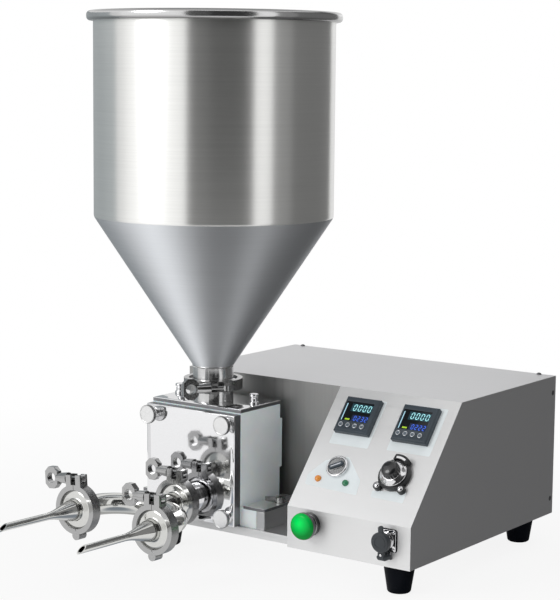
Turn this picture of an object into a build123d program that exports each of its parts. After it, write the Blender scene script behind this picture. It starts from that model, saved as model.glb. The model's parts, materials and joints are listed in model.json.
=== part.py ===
"""Filling depositor: hopper, lobe pump, two-nozzle manifold and a stainless cabinet with its controls.

Millimetres and degrees. The origin is under the middle of the machine's outline, on the surface it
stands on. X runs to the right seen from the front, Y to the back, Z up.
"""

import math
import os

from build123d import *

os.makedirs("parts", exist_ok=True)

# Clearances
running_gap = 0.05  # round a shaft, pin or stem that turns or slides in its bore
moving_gap = 0.3  # between other faces that move past each other
seat_gap = 0.1  # round a fixed piece in its cut-out
hole_end = 1  # free length at the end of a blind hole
edge_chamfer = 0.8

# Cabinet
cabinet_width = 405
cabinet_depth = 342
cabinet_height = 177
control_width = 170
strip_height = 50  # upright strip under the sloping panel
bay_depth = 108  # pump bay in front of the cabinet's wall
sheet = 1.5
tray_height = 10
tray_setback = 9
rear_flange = 12
foot_height = 35.5
foot_base_radius = 13.5
foot_top_radius = 19
foot_spigot_radius = 12
foot_inset_x = 32
foot_inset_y = 29

# Pump
pump_inset = 318.5  # pump centre line from the cabinet's right side
pump_setback = 13.5  # front of the white block behind the cabinet's front
pump_width = 136.7
pump_depth = 80.5
pump_height = 137.8
front_plate_thickness = 12.3
front_plate_height = 136.3
top_plate_thickness = 4.7
rear_cover_thickness = 4.5
rear_cover_height = 61
rotor_height = 89  # rotor axes above the tray
rotor_pitch_radius = 22
rotor_lobes = 3
gear_teeth = 12
chamber_depth = 53
chamber_back_wall = 13.5
gear_width = 11
gear_cavity_gap = 1
rotor_points = 8  # spline points along each cycloid
gear_points = 4
shaft_radius = 10
shaft_tail_radius = 8
shaft_hex = 8.5  # half the width across flats
seal_radius = 14
seal_width = 5
face_seal_margin = 1.5  # wall between the chamber and the groove
face_seal_corner = 25
face_seal_section = 4
face_seal_depth = 3
inlet_bore_radius = 19
outlet_height = 26  # outlet axis above the tray
outlet_bore_radius = 17
thumb_inset = 11
thumb_head_radius = 11.7
thumb_head_length = 4.8
thumb_neck_radius = 6.5
thumb_neck_length = 8.4
thumb_shank_radius = 4
thumb_shank_length = 38
top_screw_offset = 58
top_screw_foot_radius = 6.4
top_screw_foot_height = 2.8
top_screw_waist_radius = 3.8
top_screw_waist_height = 6.6
top_screw_cap_radius = 5
top_screw_cap_height = 3.9
top_shank_radius = 2.5
top_shank_length = 20

# Pump seat
pump_foot_height = 21.5
right_foot_width = 24.5
right_rail_width = 12
left_foot_width = 8
left_rail_width = 8
hold_plate_thickness = 3.7
hold_plate_overlap = 0.8  # share of the pump's foot that the plate covers
wing_hub_radius = 6
wing_hub_height = 7
wing_span = 19
wing_height = 9
wing_thickness = 2.6
wing_turn = 53  # wings, from the right towards the back
wing_lift = 0.5
wing_tip_lift = 4
wing_shoulder = 13.3
wing_shank_radius = 3
wing_shank_length = 14

# Ferrule joints
gasket_thickness = 1.6
ferrule_lip = 2
ferrule_taper = math.tan(math.radians(20))
taper_length = 5
line_flange_radius = 25.25
neck_flange_radius = 32
band_thickness = 4.25
band_lip = 2
band_width = 13
groove_gap = 0.15
ear_gap = 7.5
ear_thickness = 7.5
ear_slot = 7.2
ear_rise = 5
bolt_rise = 10.75  # bolt axis beyond the ferrule's edge
bolt_radius = 3
bolt_eye_radius = 5
pivot_pin_radius = 2
hinge_pin_radius = 2.5
hinge_lug_radius = 5.5
nut_gap = 1
nut_length = 17
nut_base_radius = 7
nut_tip_radius = 5.5
nut_eye_length = 19
nut_eye_height = 26
nut_eye_chamfer = 5.5
nut_eye_hole = 6.2
nut_eye_thickness = 8

# Hopper
hopper_setback = 47
hopper_radius = 146
hopper_wall = 1.2
hopper_cylinder_height = 240
hopper_cone_height = 183.7
hopper_neck_length = 21.8
rim_bead_radius = 4
rim_bead_height = 11.7
neck_radius = 25
neck_wall = 1.5
inlet_port_length = 21.5
neck_clamp_turn = 50  # clamp ears, from the front towards the right

# Outlet, manifold and nozzles
pipe_radius = 12.7
pipe_wall = 1.5
outlet_pipe_radius = 19
outlet_pipe_wall = 2
outlet_length = 24.2
manifold_reach = 42
nozzle_spacing = 119
arm_length = 70
arm_bend = 48
manifold_rake = 1.3
manifold_roll = 2.5
nozzle_clamp_turns = {"left": 7.5, "right": 4}  # ears, from upright towards the left
nozzle_collar_length = 12
nozzle_cone_length = 34
needle_length = 85
needle_radius = 4.2
needle_bore = 3.2
needle_bevel = 55

# Controls on the sloping panel, from the panel's lower right corner
meter_size = 48
meter_bezel = 7.5
meter_chamfer = 1.5
meter_case = 44.8
meter_case_depth = 68
meter_spots = {"left": (-125, 127.6), "right": (-44.7, 127.5)}
display_width = 38.5
display_height = 26.5
display_shift = -1.8
display_rise = 3.8
display_recess = 0.8
key_radius = 3.1
key_pitch = 9.9
key_shift = -1.4
key_drop = 15.5
key_proud = 1.2
key_depth = 3
key_travel = 0.5
selector_spot = (-125, 59)
selector_radius = 14
selector_rim = 2.5
selector_height = 4.5
selector_barrel_radius = 11
selector_barrel_length = 40
selector_bar_width = 5.5
selector_bar_length = 19
selector_bar_turn = 30
selector_stem_radius = 5.5
lamp_spots = {"amber": (-144.6, 40.5), "green": (-106, 40.5)}
lamp_radius = 3.4
lamp_head_radius = 3.9
lamp_height = 4
lamp_round = 2.7
lamp_barrel_length = 14
dial_spot = (-45.5, 60)
dial_base_radius = 20
dial_base_height = 5.5
dial_lug_radius = 5
dial_lug_reach = 23.5
dial_lug_angles = (228, 313)
dial_window_width = 19
dial_window_reach = 24
dial_window_depth = 6
dial_window_turn = -12
dial_window_rise = 4.5
dial_skirt_radius = 17
dial_skirt_height = 6.5
dial_skirt_step = 1
dial_knob_radius = 11
dial_knob_height = 10
dial_knob_ribs = 20
dial_rib_radius = 0.7
dial_pot_radius = 11
dial_pot_length = 24
dial_shaft_radius = 3
dial_bushing_radius = 6

# Controls on the upright strip, from the cabinet's lower right corner
button_spot = (-137.2, 33)
button_radius = 16
button_proud = 22
button_dome = 5
button_travel = 4
button_neck_radius = 11
button_stem_radius = 4
button_stem_length = 18
collar_radius = 14.2
collar_proud = 7
collar_chamfer = 1
collar_barrel_radius = 12.6
collar_barrel_length = 30
socket_spot = (-30.6, 31.6)
socket_flange_size = 25
socket_flange_thickness = 2.5
socket_corner = 2
socket_tube_radius = 9.6
socket_tube_length = 11
socket_bore_radius = 7.6
socket_barrel_radius = 10
socket_barrel_length = 24
cap_radius = 11.6
cap_wall = 1.4
cap_length = 6.5
cap_chamfer = 1
cap_mouth_gap = 8
cap_tab_width = 5.5
cap_tab_height = 14.6
cap_tab_thickness = 3
cap_tab_setback = 2
cap_hinge_drop = 18.5
cap_hinge_radius = 3.4
cap_pin_radius = 1.2
cap_ear_width = 8
cap_lug_width = 2.2
cap_lug_taper = 38

# Drive and mains entry
spindle_radius = 15
spindle_shaft_radius = 8
spindle_hole_gap = 3
spindle_head_length = 21
coupling_depth = 14
gearbox_size = 90
gearbox_corner = 7.5
gearbox_length = 60
motor_radius = 42
motor_length = 130
gland_spot = (-60, 45)
gland_radius = 11
gland_cap_radius = 8.8
gland_chamfer = 2.2
gland_thread_radius = 8
gland_bore = 4
gland_proud = 20
gland_nut_height = 5

# Places worked out from the sizes above
rim_radius = hopper_radius + 2 * rim_bead_radius
x_right = (pump_inset + rim_radius) / 2
pump_x = x_right - pump_inset
nozzle_length = nozzle_collar_length + nozzle_cone_length + needle_length
forward = (arm_length + nozzle_length) * math.cos(math.radians(manifold_rake))
front_reach = outlet_length + manifold_reach + forward - (pump_setback - front_plate_thickness)
y_front = (front_reach - cabinet_depth - gland_proud) / 2
y_back = y_front + cabinet_depth
y_wall = y_front + bay_depth
y_block = y_front + pump_setback
y_plate = y_block - front_plate_thickness
y_block_back = y_block + pump_depth
z_base = foot_height
z_tray = z_base + tray_height
z_top = z_base + cabinet_height
z_block_top = z_tray + pump_height
z_rotor = z_tray + rotor_height
z_outlet = z_tray + outlet_height
y_chamber_back = y_block + chamber_depth
y_gear_cavity = y_chamber_back + chamber_back_wall
drive_x = pump_x + rotor_pitch_radius
driven_x = pump_x - rotor_pitch_radius
half_gasket = gasket_thickness / 2


def facing_front(y, x=0.0, z=0.0):
    """A plane seen from the front: local x is X, local y is Z, and its normal points forward."""
    return Plane(origin=(x, y, z), x_dir=(1, 0, 0), z_dir=(0, -1, 0))


slope = Vector(0, bay_depth, cabinet_height - strip_height).normalized()
panel = Plane(
    origin=(x_right, y_front, z_base + strip_height), x_dir=(1, 0, 0), z_dir=(0, -slope.Z, slope.Y)
)
strip = facing_front(y_front, x_right, z_base)

# Ferrule joints: each plane's normal runs along the pipe, and its local y points to the clamp's ears
outlet_joint = facing_front(y_plate - outlet_length, pump_x, z_outlet)
turn = math.radians(neck_clamp_turn)
z_neck_joint = z_block_top + top_plate_thickness + inlet_port_length
neck_joint = Plane(
    origin=(pump_x, y_front + hopper_setback, z_neck_joint),
    x_dir=(math.cos(turn), math.sin(turn), 0),
    z_dir=(0, 0, -1),
)
roll = math.radians(manifold_roll)
rake = math.radians(manifold_rake)
across = Vector(math.cos(roll), 0, -math.sin(roll))
rise = Vector(math.sin(roll), 0, math.cos(roll))
ahead = Vector(0, -1, 0) * math.cos(rake) + rise * math.sin(rake)
cross_centre = Vector(pump_x, y_plate - outlet_length - manifold_reach, z_outlet)
nozzle_joints = {}
for side, sign in {"left": -1, "right": 1}.items():
    lean = math.radians(nozzle_clamp_turns[side])
    nozzle_joints[side] = Plane(
        origin=cross_centre + across * (sign * nozzle_spacing / 2) + ahead * arm_length,
        x_dir=across * math.cos(lean) + ahead.cross(across) * math.sin(lean),
        z_dir=ahead,
    )


def save(builder, name):
    """Label a finished piece and write it to its own file."""
    builder.part.label = name
    export_step(builder.part, f"parts/{name}.step")


def section_of(joint):
    """The plane through a joint's axis: local x is the radius, local y runs along the pipe."""
    return Plane(origin=joint.origin, x_dir=joint.x_dir, z_dir=-joint.y_dir)


def axis_of(joint):
    return Axis(joint.origin, joint.z_dir)


def ferrule_pipe(joint, side, flange, pipe, bore, length):
    """A clamp ferrule and its pipe, on one side of the joint."""
    inner = max(pipe, flange - taper_length)
    back = half_gasket + ferrule_lip
    hub = back + (flange - inner) * ferrule_taper
    outline = [
        (bore, half_gasket),
        (flange, half_gasket),
        (flange, back),
        (inner, hub),
        (pipe, hub),
        (pipe, length),
        (bore, length),
    ]
    with BuildPart() as pipe_end:
        with BuildSketch(section_of(joint)):
            with BuildLine():
                Polyline(*[(r, side * along) for r, along in outline], close=True)
            make_face()
        revolve(axis=axis_of(joint))
    return pipe_end.part


def gasket(joint, flange, bore):
    with BuildPart() as ring:
        with BuildSketch(joint.offset(-half_gasket)):
            Circle(flange)
            Circle(bore, mode=Mode.SUBTRACT)
        extrude(amount=gasket_thickness)
    return ring.part


# Ferrule clamp: two half bands on a hinge pin, closed by a swing bolt and an eye nut
def clamp_half(joint, flange, sign):
    """One half band: sign 1 carries the bolt's fork, sign -1 the open slot under the nut."""
    inner = flange - band_lip
    outer = flange + band_thickness
    half = band_width / 2
    groove = half_gasket + ferrule_lip + groove_gap
    lip = groove + band_lip * ferrule_taper
    hinge_y = -(outer + hinge_pin_radius / 2)
    knuckle = band_width / 4
    ear_x = sign * (ear_gap + ear_thickness) / 2
    bolt_y = flange + bolt_rise
    slot_floor = bolt_y - (bolt_eye_radius + moving_gap if sign > 0 else ear_slot / 2)
    with BuildPart() as half_band:
        with BuildSketch(section_of(joint)):
            with BuildLine():
                Polyline(
                    (inner, half), (outer, half), (outer, -half), (inner, -half), (inner, -lip),
                    (flange + groove_gap, -groove), (flange + groove_gap, groove), (inner, lip),
                    close=True,
                )
            make_face()
        revolve(axis=axis_of(joint))
        edge = Plane(origin=joint.origin + joint.x_dir * sign * moving_gap, z_dir=joint.x_dir * sign)
        split(bisect_by=edge, keep=Keep.TOP)
        with BuildSketch(joint.offset(-half)):
            with Locations((ear_x, (outer + bolt_y + ear_rise) / 2 - band_thickness / 2)):
                Rectangle(ear_thickness, bolt_y + ear_rise - outer + band_thickness)
        extrude(amount=band_width)
        with BuildSketch(joint.offset(-ear_slot / 2)):
            with Locations((ear_x, slot_floor + bolt_rise)):
                Rectangle(2 * ear_thickness, 2 * bolt_rise)
        extrude(amount=ear_slot, mode=Mode.SUBTRACT)
        # The fork half has the middle knuckle of the hinge, the slot half the outer two
        for low, high in ((-half, -knuckle), (-knuckle, knuckle), (knuckle, half)):
            own = (low + high == 0) == (sign > 0)
            with BuildSketch(joint.offset(low + (0 if own else -seat_gap))):
                with Locations((0, hinge_y)):
                    Circle(hinge_lug_radius + (0 if own else seat_gap))
            extrude(
                amount=high - low + (0 if own else 2 * seat_gap),
                mode=Mode.ADD if own else Mode.SUBTRACT,
            )
        with BuildSketch(joint):
            with Locations((0, hinge_y)):
                Circle(hinge_pin_radius + running_gap)
            with Locations(((ear_gap + ear_thickness) / 2, bolt_y)):
                Circle(pivot_pin_radius + running_gap)
        extrude(amount=band_width, both=True, mode=Mode.SUBTRACT)
        with BuildSketch(joint):
            Circle(inner)
        extrude(amount=band_width, both=True, mode=Mode.SUBTRACT)
    return half_band


def clamp_bands(joint, flange):
    hinge_y = -(flange + band_thickness + hinge_pin_radius / 2)
    with BuildPart() as bands:
        add(clamp_half(joint, flange, 1).part)
        add(clamp_half(joint, flange, -1).part)
        with BuildSketch(joint):
            with Locations((0, hinge_y)):
                Circle(hinge_pin_radius)
            with Locations(((ear_gap + ear_thickness) / 2, flange + bolt_rise)):
                Circle(pivot_pin_radius)
        extrude(amount=band_width / 2, both=True)
    return bands


def clamp_bolt(joint, flange):
    pivot = ((ear_gap + ear_thickness) / 2, flange + bolt_rise)
    reach = pivot[0] + ear_gap / 2 + ear_thickness + nut_gap + nut_length
    start = joint.from_local_coords(Vector(*pivot))
    with BuildPart() as bolt:
        with BuildSketch(joint):
            with Locations(pivot):
                Circle(bolt_eye_radius)
        extrude(amount=ear_slot / 2 - moving_gap, both=True)
        with BuildSketch(Plane(origin=start, x_dir=joint.y_dir, z_dir=-joint.x_dir)):
            Circle(bolt_radius)
        extrude(amount=reach)
        with BuildSketch(joint):
            with Locations(pivot):
                Circle(pivot_pin_radius + running_gap)
        extrude(amount=ear_slot, both=True, mode=Mode.SUBTRACT)
    return bolt


def clamp_nut(joint, flange, upright):
    """The eye nut: a tapered barrel on the bolt and a flat eye, upright along the pipe or across it."""
    barrel_x = -(ear_gap / 2 + ear_thickness + nut_gap)
    seat = joint.from_local_coords(Vector(barrel_x, flange + bolt_rise))
    flat = joint.z_dir if upright else joint.y_dir
    barrel = Plane(origin=seat, x_dir=flat, z_dir=-joint.x_dir)
    eye_centre = barrel.origin + barrel.z_dir * (nut_length + nut_eye_length / 2 - nut_eye_chamfer / 3)
    eye = Plane(origin=eye_centre, x_dir=barrel.z_dir, z_dir=barrel.y_dir)
    with BuildPart() as nut:
        with BuildSketch(barrel):
            Circle(nut_base_radius)
        with BuildSketch(barrel.offset(nut_length)):
            Circle(nut_tip_radius)
        loft()
        with BuildSketch(eye.offset(-nut_eye_thickness / 2)):
            Rectangle(nut_eye_length, nut_eye_height)
            chamfer(vertices(), nut_eye_chamfer)
        extrude(amount=nut_eye_thickness)
        with BuildSketch(eye):
            Circle(nut_eye_hole)
        extrude(amount=nut_eye_thickness, both=True, mode=Mode.SUBTRACT)
        with BuildSketch(barrel):
            Circle(bolt_radius + running_gap)
        extrude(amount=nut_length + moving_gap, mode=Mode.SUBTRACT)
    return nut


clamps = {
    "neck_clamp": (neck_joint, neck_flange_radius, True),
    "outlet_clamp": (outlet_joint, line_flange_radius, False),
    "left_nozzle_clamp": (nozzle_joints["left"], line_flange_radius, False),
    "right_nozzle_clamp": (nozzle_joints["right"], line_flange_radius, False),
}
for name, (joint, flange, upright) in clamps.items():
    save(clamp_bands(joint, flange), name)
    save(clamp_bolt(joint, flange), f"{name}_bolt")
    save(clamp_nut(joint, flange, upright), f"{name}_nut")

with BuildPart() as ferrule_gaskets:
    add(gasket(neck_joint, neck_flange_radius - seat_gap, neck_radius - neck_wall))
    add(gasket(outlet_joint, line_flange_radius - seat_gap, outlet_pipe_radius - outlet_pipe_wall))
    for joint in nozzle_joints.values():
        add(gasket(joint, line_flange_radius - seat_gap, pipe_radius - pipe_wall))
save(ferrule_gaskets, "ferrule_gaskets")

# Hopper: spun cylinder and cone with a rolled rim, welded to a neck with its ferrule
hopper_axis = Plane(origin=neck_joint.origin, x_dir=(1, 0, 0), z_dir=(0, 0, 1))
cone_foot = hopper_neck_length
cone_top = cone_foot + hopper_cone_height
rim_height = cone_top + hopper_cylinder_height
with BuildPart() as hopper:
    add(ferrule_pipe(hopper_axis, 1, neck_flange_radius, neck_radius, neck_radius - neck_wall, cone_foot))
    with BuildSketch(section_of(hopper_axis)):
        with BuildLine():
            Polyline(
                (neck_radius - neck_wall, cone_foot),
                (neck_radius, cone_foot),
                (hopper_radius, cone_top),
                (hopper_radius, rim_height),
                (hopper_radius - hopper_wall, rim_height),
                (hopper_radius - hopper_wall, cone_top),
                close=True,
            )
        make_face()
        with Locations((hopper_radius + rim_bead_radius - hopper_wall / 2, rim_height)):
            Ellipse(rim_bead_radius + hopper_wall / 2, rim_bead_height / 2)
    revolve(axis=axis_of(hopper_axis))
save(hopper, "hopper")


# Lobe rotors and timing gears share one outline: cycloids rolled outside and inside the pitch circle
def cycloid_point(pitch, lobes, share, outside, start):
    """A point of a tip (outside) or a root, set in by half the running gap between two wheels."""
    rolling = pitch / (2 * lobes)
    angle = math.pi / lobes * share
    swing = math.pi * share
    reach = 2 * rolling * math.sin(swing) + (-1 if outside else 1) * moving_gap / 2
    heading = start + angle + (swing if outside else -swing) - math.pi / 2
    return (
        pitch * math.cos(start + angle) + reach * math.cos(heading),
        pitch * math.sin(start + angle) + reach * math.sin(heading),
    )


def lobed_wheel(plane, lobes, first_tip, points):
    """The outline of a wheel with a tip at the angle first_tip and as many roots as tips."""
    shares = [step / points for step in range(points + 1)]
    with BuildSketch(plane) as wheel:
        with BuildLine():
            for lobe in range(lobes):
                tip = math.radians(first_tip + 360 / lobes * (lobe - 0.25))
                root = tip + math.pi / lobes
                Spline(*[cycloid_point(rotor_pitch_radius, lobes, share, True, tip) for share in shares])
                Spline(*[cycloid_point(rotor_pitch_radius, lobes, share, False, root) for share in shares])
        make_face()
    return wheel.sketch


rotor_tip_radius = rotor_pitch_radius * (1 + 1 / rotor_lobes)
gear_tip_radius = rotor_pitch_radius * (1 + 1 / gear_teeth)
rotor_front = y_block + moving_gap
rotor_back = y_chamber_back - moving_gap
gear_front = y_gear_cavity + (y_block_back - y_gear_cavity - gear_width) / 2
hex_radius = shaft_hex / math.cos(math.radians(30))


def rotor(x, first_tip):
    front = facing_front(rotor_front, x, z_rotor)
    with BuildPart() as wheel:
        extrude(lobed_wheel(front, rotor_lobes, first_tip, rotor_points), amount=rotor_front - rotor_back)
        with BuildSketch(front):
            RegularPolygon(hex_radius + running_gap, 6)
        extrude(amount=rotor_front - rotor_back, mode=Mode.SUBTRACT)
    return wheel


def pump_shaft(x, first_tip, tail):
    """A shaft with a hexagon for its rotor, a journal, its timing gear and a tail of the given length."""
    with BuildPart() as shaft:
        with BuildSketch(facing_front(rotor_front, x, z_rotor)):
            RegularPolygon(hex_radius, 6)
        extrude(amount=rotor_front - rotor_back)
        with BuildSketch(facing_front(rotor_back, x, z_rotor)):
            Circle(shaft_radius)
        extrude(amount=rotor_back - gear_front)
        teeth = lobed_wheel(facing_front(gear_front, x, z_rotor), gear_teeth, first_tip, gear_points)
        extrude(teeth, amount=-gear_width)
        with BuildSketch(facing_front(gear_front + gear_width, x, z_rotor)):
            Circle(shaft_tail_radius)
        extrude(amount=-tail)
    return shaft


tail_to_cover = y_block_back + rear_cover_thickness - gear_front - gear_width
coupling_front = y_wall - coupling_depth / 2
save(rotor(drive_x, 180), "drive_rotor")
save(rotor(driven_x, 180 / rotor_lobes), "driven_rotor")
save(pump_shaft(driven_x, 180 / gear_teeth, tail_to_cover), "driven_shaft")

drive_shaft = pump_shaft(drive_x, 180, coupling_front - gear_front - gear_width)
coupling_hex = shaft_tail_radius - 2 * running_gap
with BuildPart() as drive_shaft_with_hexagon:
    add(drive_shaft.part)
    with BuildSketch(facing_front(coupling_front, drive_x, z_rotor)):
        RegularPolygon(coupling_hex, 6)
    extrude(amount=-coupling_depth)
save(drive_shaft_with_hexagon, "drive_shaft")

with BuildPart() as output_spindle:
    with BuildSketch(facing_front(coupling_front + moving_gap, drive_x, z_rotor)):
        Circle(spindle_radius)
        RegularPolygon(coupling_hex + running_gap, 6, mode=Mode.SUBTRACT)
    extrude(amount=-coupling_depth)
    with BuildSketch(facing_front(coupling_front + moving_gap + coupling_depth, drive_x, z_rotor)):
        Circle(spindle_radius)
    extrude(amount=-(spindle_head_length - coupling_depth))
    with BuildSketch(facing_front(coupling_front + spindle_head_length, drive_x, z_rotor)):
        Circle(spindle_shaft_radius)
    extrude(amount=-gearbox_length / 2)
save(output_spindle, "output_spindle")

# Gear motor: a square gearbox bolted behind the bay's wall, with the motor on its back
y_gearbox = y_wall + sheet
pocket_end = coupling_front + spindle_head_length + 2 * moving_gap
with BuildPart() as gear_motor:
    with BuildSketch(facing_front(y_gearbox, drive_x, z_rotor)):
        RectangleRounded(gearbox_size, gearbox_size, gearbox_corner)
    extrude(amount=-gearbox_length)
    with BuildSketch(facing_front(y_gearbox + gearbox_length, drive_x, z_rotor)):
        Circle(motor_radius)
    extrude(amount=-motor_length)
    with BuildSketch(facing_front(y_gearbox, drive_x, z_rotor)):
        Circle(spindle_radius + moving_gap)
    extrude(amount=y_gearbox - pocket_end, mode=Mode.SUBTRACT)
    with BuildSketch(facing_front(y_gearbox, drive_x, z_rotor)):
        Circle(spindle_shaft_radius + running_gap)
    extrude(amount=-gearbox_length, mode=Mode.SUBTRACT)
save(gear_motor, "gear_motor")

# Pump block with the rotor chamber, the inlet from above and the outlet pocket behind the front plate
thumb_x = pump_width / 2 - thumb_inset
thumb_spots = [
    (pump_x + sign * thumb_x, z_tray + height)
    for sign in (-1, 1)
    for height in (thumb_inset, front_plate_height - thumb_inset)
]
top_screw_spots = [(pump_x + sign * top_screw_offset, y_block + pump_depth / 2) for sign in (-1, 1)]
seal_reach = rotor_tip_radius + moving_gap + face_seal_margin + face_seal_section
face_seal_width = 2 * (rotor_pitch_radius + seal_reach)
z_seal_top = z_rotor + seal_reach
z_seal_foot = z_outlet - outlet_bore_radius - face_seal_margin - face_seal_section
face_seal_height = z_seal_top - z_seal_foot
face_seal_centre = (pump_x, (z_seal_top + z_seal_foot) / 2)


def twin_circles(radius, mode=Mode.ADD):
    with Locations((drive_x, z_rotor), (driven_x, z_rotor)):
        Circle(radius, mode=mode)


def face_seal_ring():
    with Locations(face_seal_centre):
        RectangleRounded(face_seal_width, face_seal_height, face_seal_corner)
        inset = 2 * face_seal_section
        RectangleRounded(
            face_seal_width - inset,
            face_seal_height - inset,
            face_seal_corner - face_seal_section,
            mode=Mode.SUBTRACT,
        )


with BuildPart() as pump_body:
    with BuildSketch(facing_front(y_block)):
        with Locations((pump_x, z_tray)):
            Rectangle(pump_width, pump_height, align=(Align.CENTER, Align.MIN))
        with Locations((pump_x + pump_width / 2, z_tray)):
            Rectangle(right_foot_width, pump_foot_height, align=(Align.MIN, Align.MIN))
        with Locations((pump_x - pump_width / 2, z_tray)):
            Rectangle(left_foot_width, pump_foot_height, align=(Align.MAX, Align.MIN))
    extrude(amount=-pump_depth)
    with BuildSketch(facing_front(y_block)):
        twin_circles(rotor_tip_radius + moving_gap)
    extrude(amount=-chamber_depth, mode=Mode.SUBTRACT)
    with BuildSketch(Plane.XY.offset(z_rotor)):
        with Locations((pump_x, y_front + hopper_setback)):
            Circle(inlet_bore_radius)
    extrude(amount=z_block_top - z_rotor, mode=Mode.SUBTRACT)
    with BuildSketch(facing_front(y_block)):
        with Locations((pump_x, (z_outlet + z_rotor) / 2)):
            SlotCenterToCenter(z_rotor - z_outlet, 2 * outlet_bore_radius, rotation=90)
    extrude(amount=-2 * outlet_bore_radius, mode=Mode.SUBTRACT)
    with BuildSketch(facing_front(y_chamber_back)):
        twin_circles(seal_radius)
    extrude(amount=-seal_width, mode=Mode.SUBTRACT)
    with BuildSketch(facing_front(y_chamber_back)):
        twin_circles(shaft_radius + running_gap)
    extrude(amount=-chamber_back_wall, mode=Mode.SUBTRACT)
    with BuildSketch(facing_front(y_gear_cavity)):
        twin_circles(gear_tip_radius + gear_cavity_gap)
    extrude(amount=y_gear_cavity - y_block_back, mode=Mode.SUBTRACT)
    with BuildSketch(facing_front(y_block)):
        with Locations(*thumb_spots):
            Circle(thumb_shank_radius + running_gap)
    extrude(amount=-thumb_shank_length, mode=Mode.SUBTRACT)
    with BuildSketch(Plane.XY.offset(z_block_top)):
        with Locations(*top_screw_spots):
            Circle(top_shank_radius + running_gap)
    extrude(amount=-top_shank_length, mode=Mode.SUBTRACT)
    with BuildSketch(facing_front(y_block)):
        face_seal_ring()
    extrude(amount=-face_seal_depth, mode=Mode.SUBTRACT)
save(pump_body, "pump_body")

with BuildPart() as face_seal:
    with BuildSketch(facing_front(y_block)):
        face_seal_ring()
    extrude(amount=-face_seal_depth)
save(face_seal, "face_seal")

with BuildPart() as shaft_seals:
    with BuildSketch(facing_front(y_chamber_back + moving_gap)):
        twin_circles(seal_radius - seat_gap)
        twin_circles(shaft_radius + running_gap, Mode.SUBTRACT)
    extrude(amount=-(seal_width - moving_gap))
save(shaft_seals, "shaft_seals")

with BuildPart() as rear_cover:
    with BuildSketch(facing_front(y_block_back)):
        with Locations((pump_x, z_rotor)):
            Rectangle(pump_width, rear_cover_height)
        twin_circles(shaft_tail_radius + running_gap, Mode.SUBTRACT)
    extrude(amount=-rear_cover_thickness)
save(rear_cover, "rear_cover")

with BuildPart() as front_plate:
    with BuildSketch(facing_front(y_block)):
        with Locations((pump_x, z_tray)):
            Rectangle(pump_width, front_plate_height, align=(Align.CENTER, Align.MIN))
        with Locations(*thumb_spots):
            Circle(thumb_shank_radius + seat_gap, mode=Mode.SUBTRACT)
    extrude(amount=front_plate_thickness)
    chamfer(faces().sort_by(Axis.Y)[0].outer_wire().edges(), edge_chamfer)
    outlet_bore = outlet_pipe_radius - outlet_pipe_wall
    add(ferrule_pipe(outlet_joint, -1, line_flange_radius, outlet_pipe_radius, outlet_bore, outlet_length))
    with BuildSketch(outlet_joint):
        Circle(outlet_bore)
    extrude(amount=-(outlet_length + front_plate_thickness), mode=Mode.SUBTRACT)
save(front_plate, "front_plate")

with BuildPart() as top_plate:
    with BuildSketch(Plane.XY.offset(z_block_top)):
        with Locations((pump_x, y_block + pump_depth / 2)):
            Rectangle(pump_width, pump_depth)
        with Locations(*top_screw_spots):
            Circle(top_shank_radius + seat_gap, mode=Mode.SUBTRACT)
    extrude(amount=top_plate_thickness)
    chamfer(faces().sort_by(Axis.Z)[-1].outer_wire().edges(), edge_chamfer)
    inlet_bore = neck_radius - neck_wall
    add(ferrule_pipe(neck_joint, 1, neck_flange_radius, neck_radius, inlet_bore, inlet_port_length))
    with BuildSketch(neck_joint):
        Circle(inlet_bore)
    extrude(amount=inlet_port_length + top_plate_thickness, mode=Mode.SUBTRACT)
save(top_plate, "top_plate")

with BuildPart() as thumb_screws:
    with BuildSketch(facing_front(y_plate)):
        with Locations(*thumb_spots):
            Circle(thumb_neck_radius)
    extrude(amount=thumb_neck_length)
    with BuildSketch(facing_front(y_plate - thumb_neck_length)):
        with Locations(*thumb_spots):
            Circle(thumb_head_radius)
    extrude(amount=thumb_head_length)
    chamfer(edges().group_by(Axis.Y)[0], edge_chamfer)
    with BuildSketch(facing_front(y_plate)):
        with Locations(*thumb_spots):
            Circle(thumb_shank_radius)
    extrude(amount=hole_end - thumb_shank_length - front_plate_thickness)
save(thumb_screws, "thumb_screws")

z_top_plate = z_block_top + top_plate_thickness
with BuildPart() as top_screws:
    foot = z_top_plate
    for height, radius in (
        (top_screw_foot_height, top_screw_foot_radius),
        (top_screw_waist_height, top_screw_waist_radius),
        (top_screw_cap_height, top_screw_cap_radius),
    ):
        with BuildSketch(Plane.XY.offset(foot)):
            with Locations(*top_screw_spots):
                Circle(radius)
        extrude(amount=height)
        foot = foot + height
    with BuildSketch(Plane.XY.offset(z_top_plate)):
        with Locations(*top_screw_spots):
            Circle(top_shank_radius)
    extrude(amount=hole_end - top_plate_thickness - top_shank_length)
save(top_screws, "top_screws")

# Pump seat: rails beside the pump's feet, plates over both, and a wing screw in the right rail
right_rail_x = pump_x + pump_width / 2 + right_foot_width + seat_gap
left_rail_x = pump_x - pump_width / 2 - left_foot_width - seat_gap
z_plate = z_tray + pump_foot_height
wing_spot = (right_rail_x + right_rail_width / 2, y_block + pump_depth / 2)
rails = {
    1: (right_rail_x, right_rail_width, right_foot_width),
    -1: (left_rail_x, left_rail_width, left_foot_width),
}

with BuildPart() as guide_rails:
    for sign, (edge_x, width, _) in rails.items():
        with BuildSketch(Plane.XY.offset(z_tray)):
            with Locations((edge_x + sign * width / 2, y_block + pump_depth / 2)):
                Rectangle(width, pump_depth)
        extrude(amount=pump_foot_height)
    with BuildSketch(Plane.XY.offset(z_plate)):
        with Locations(wing_spot):
            Circle(wing_shank_radius + running_gap)
    extrude(amount=-wing_shank_length, mode=Mode.SUBTRACT)
save(guide_rails, "guide_rails")

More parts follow.
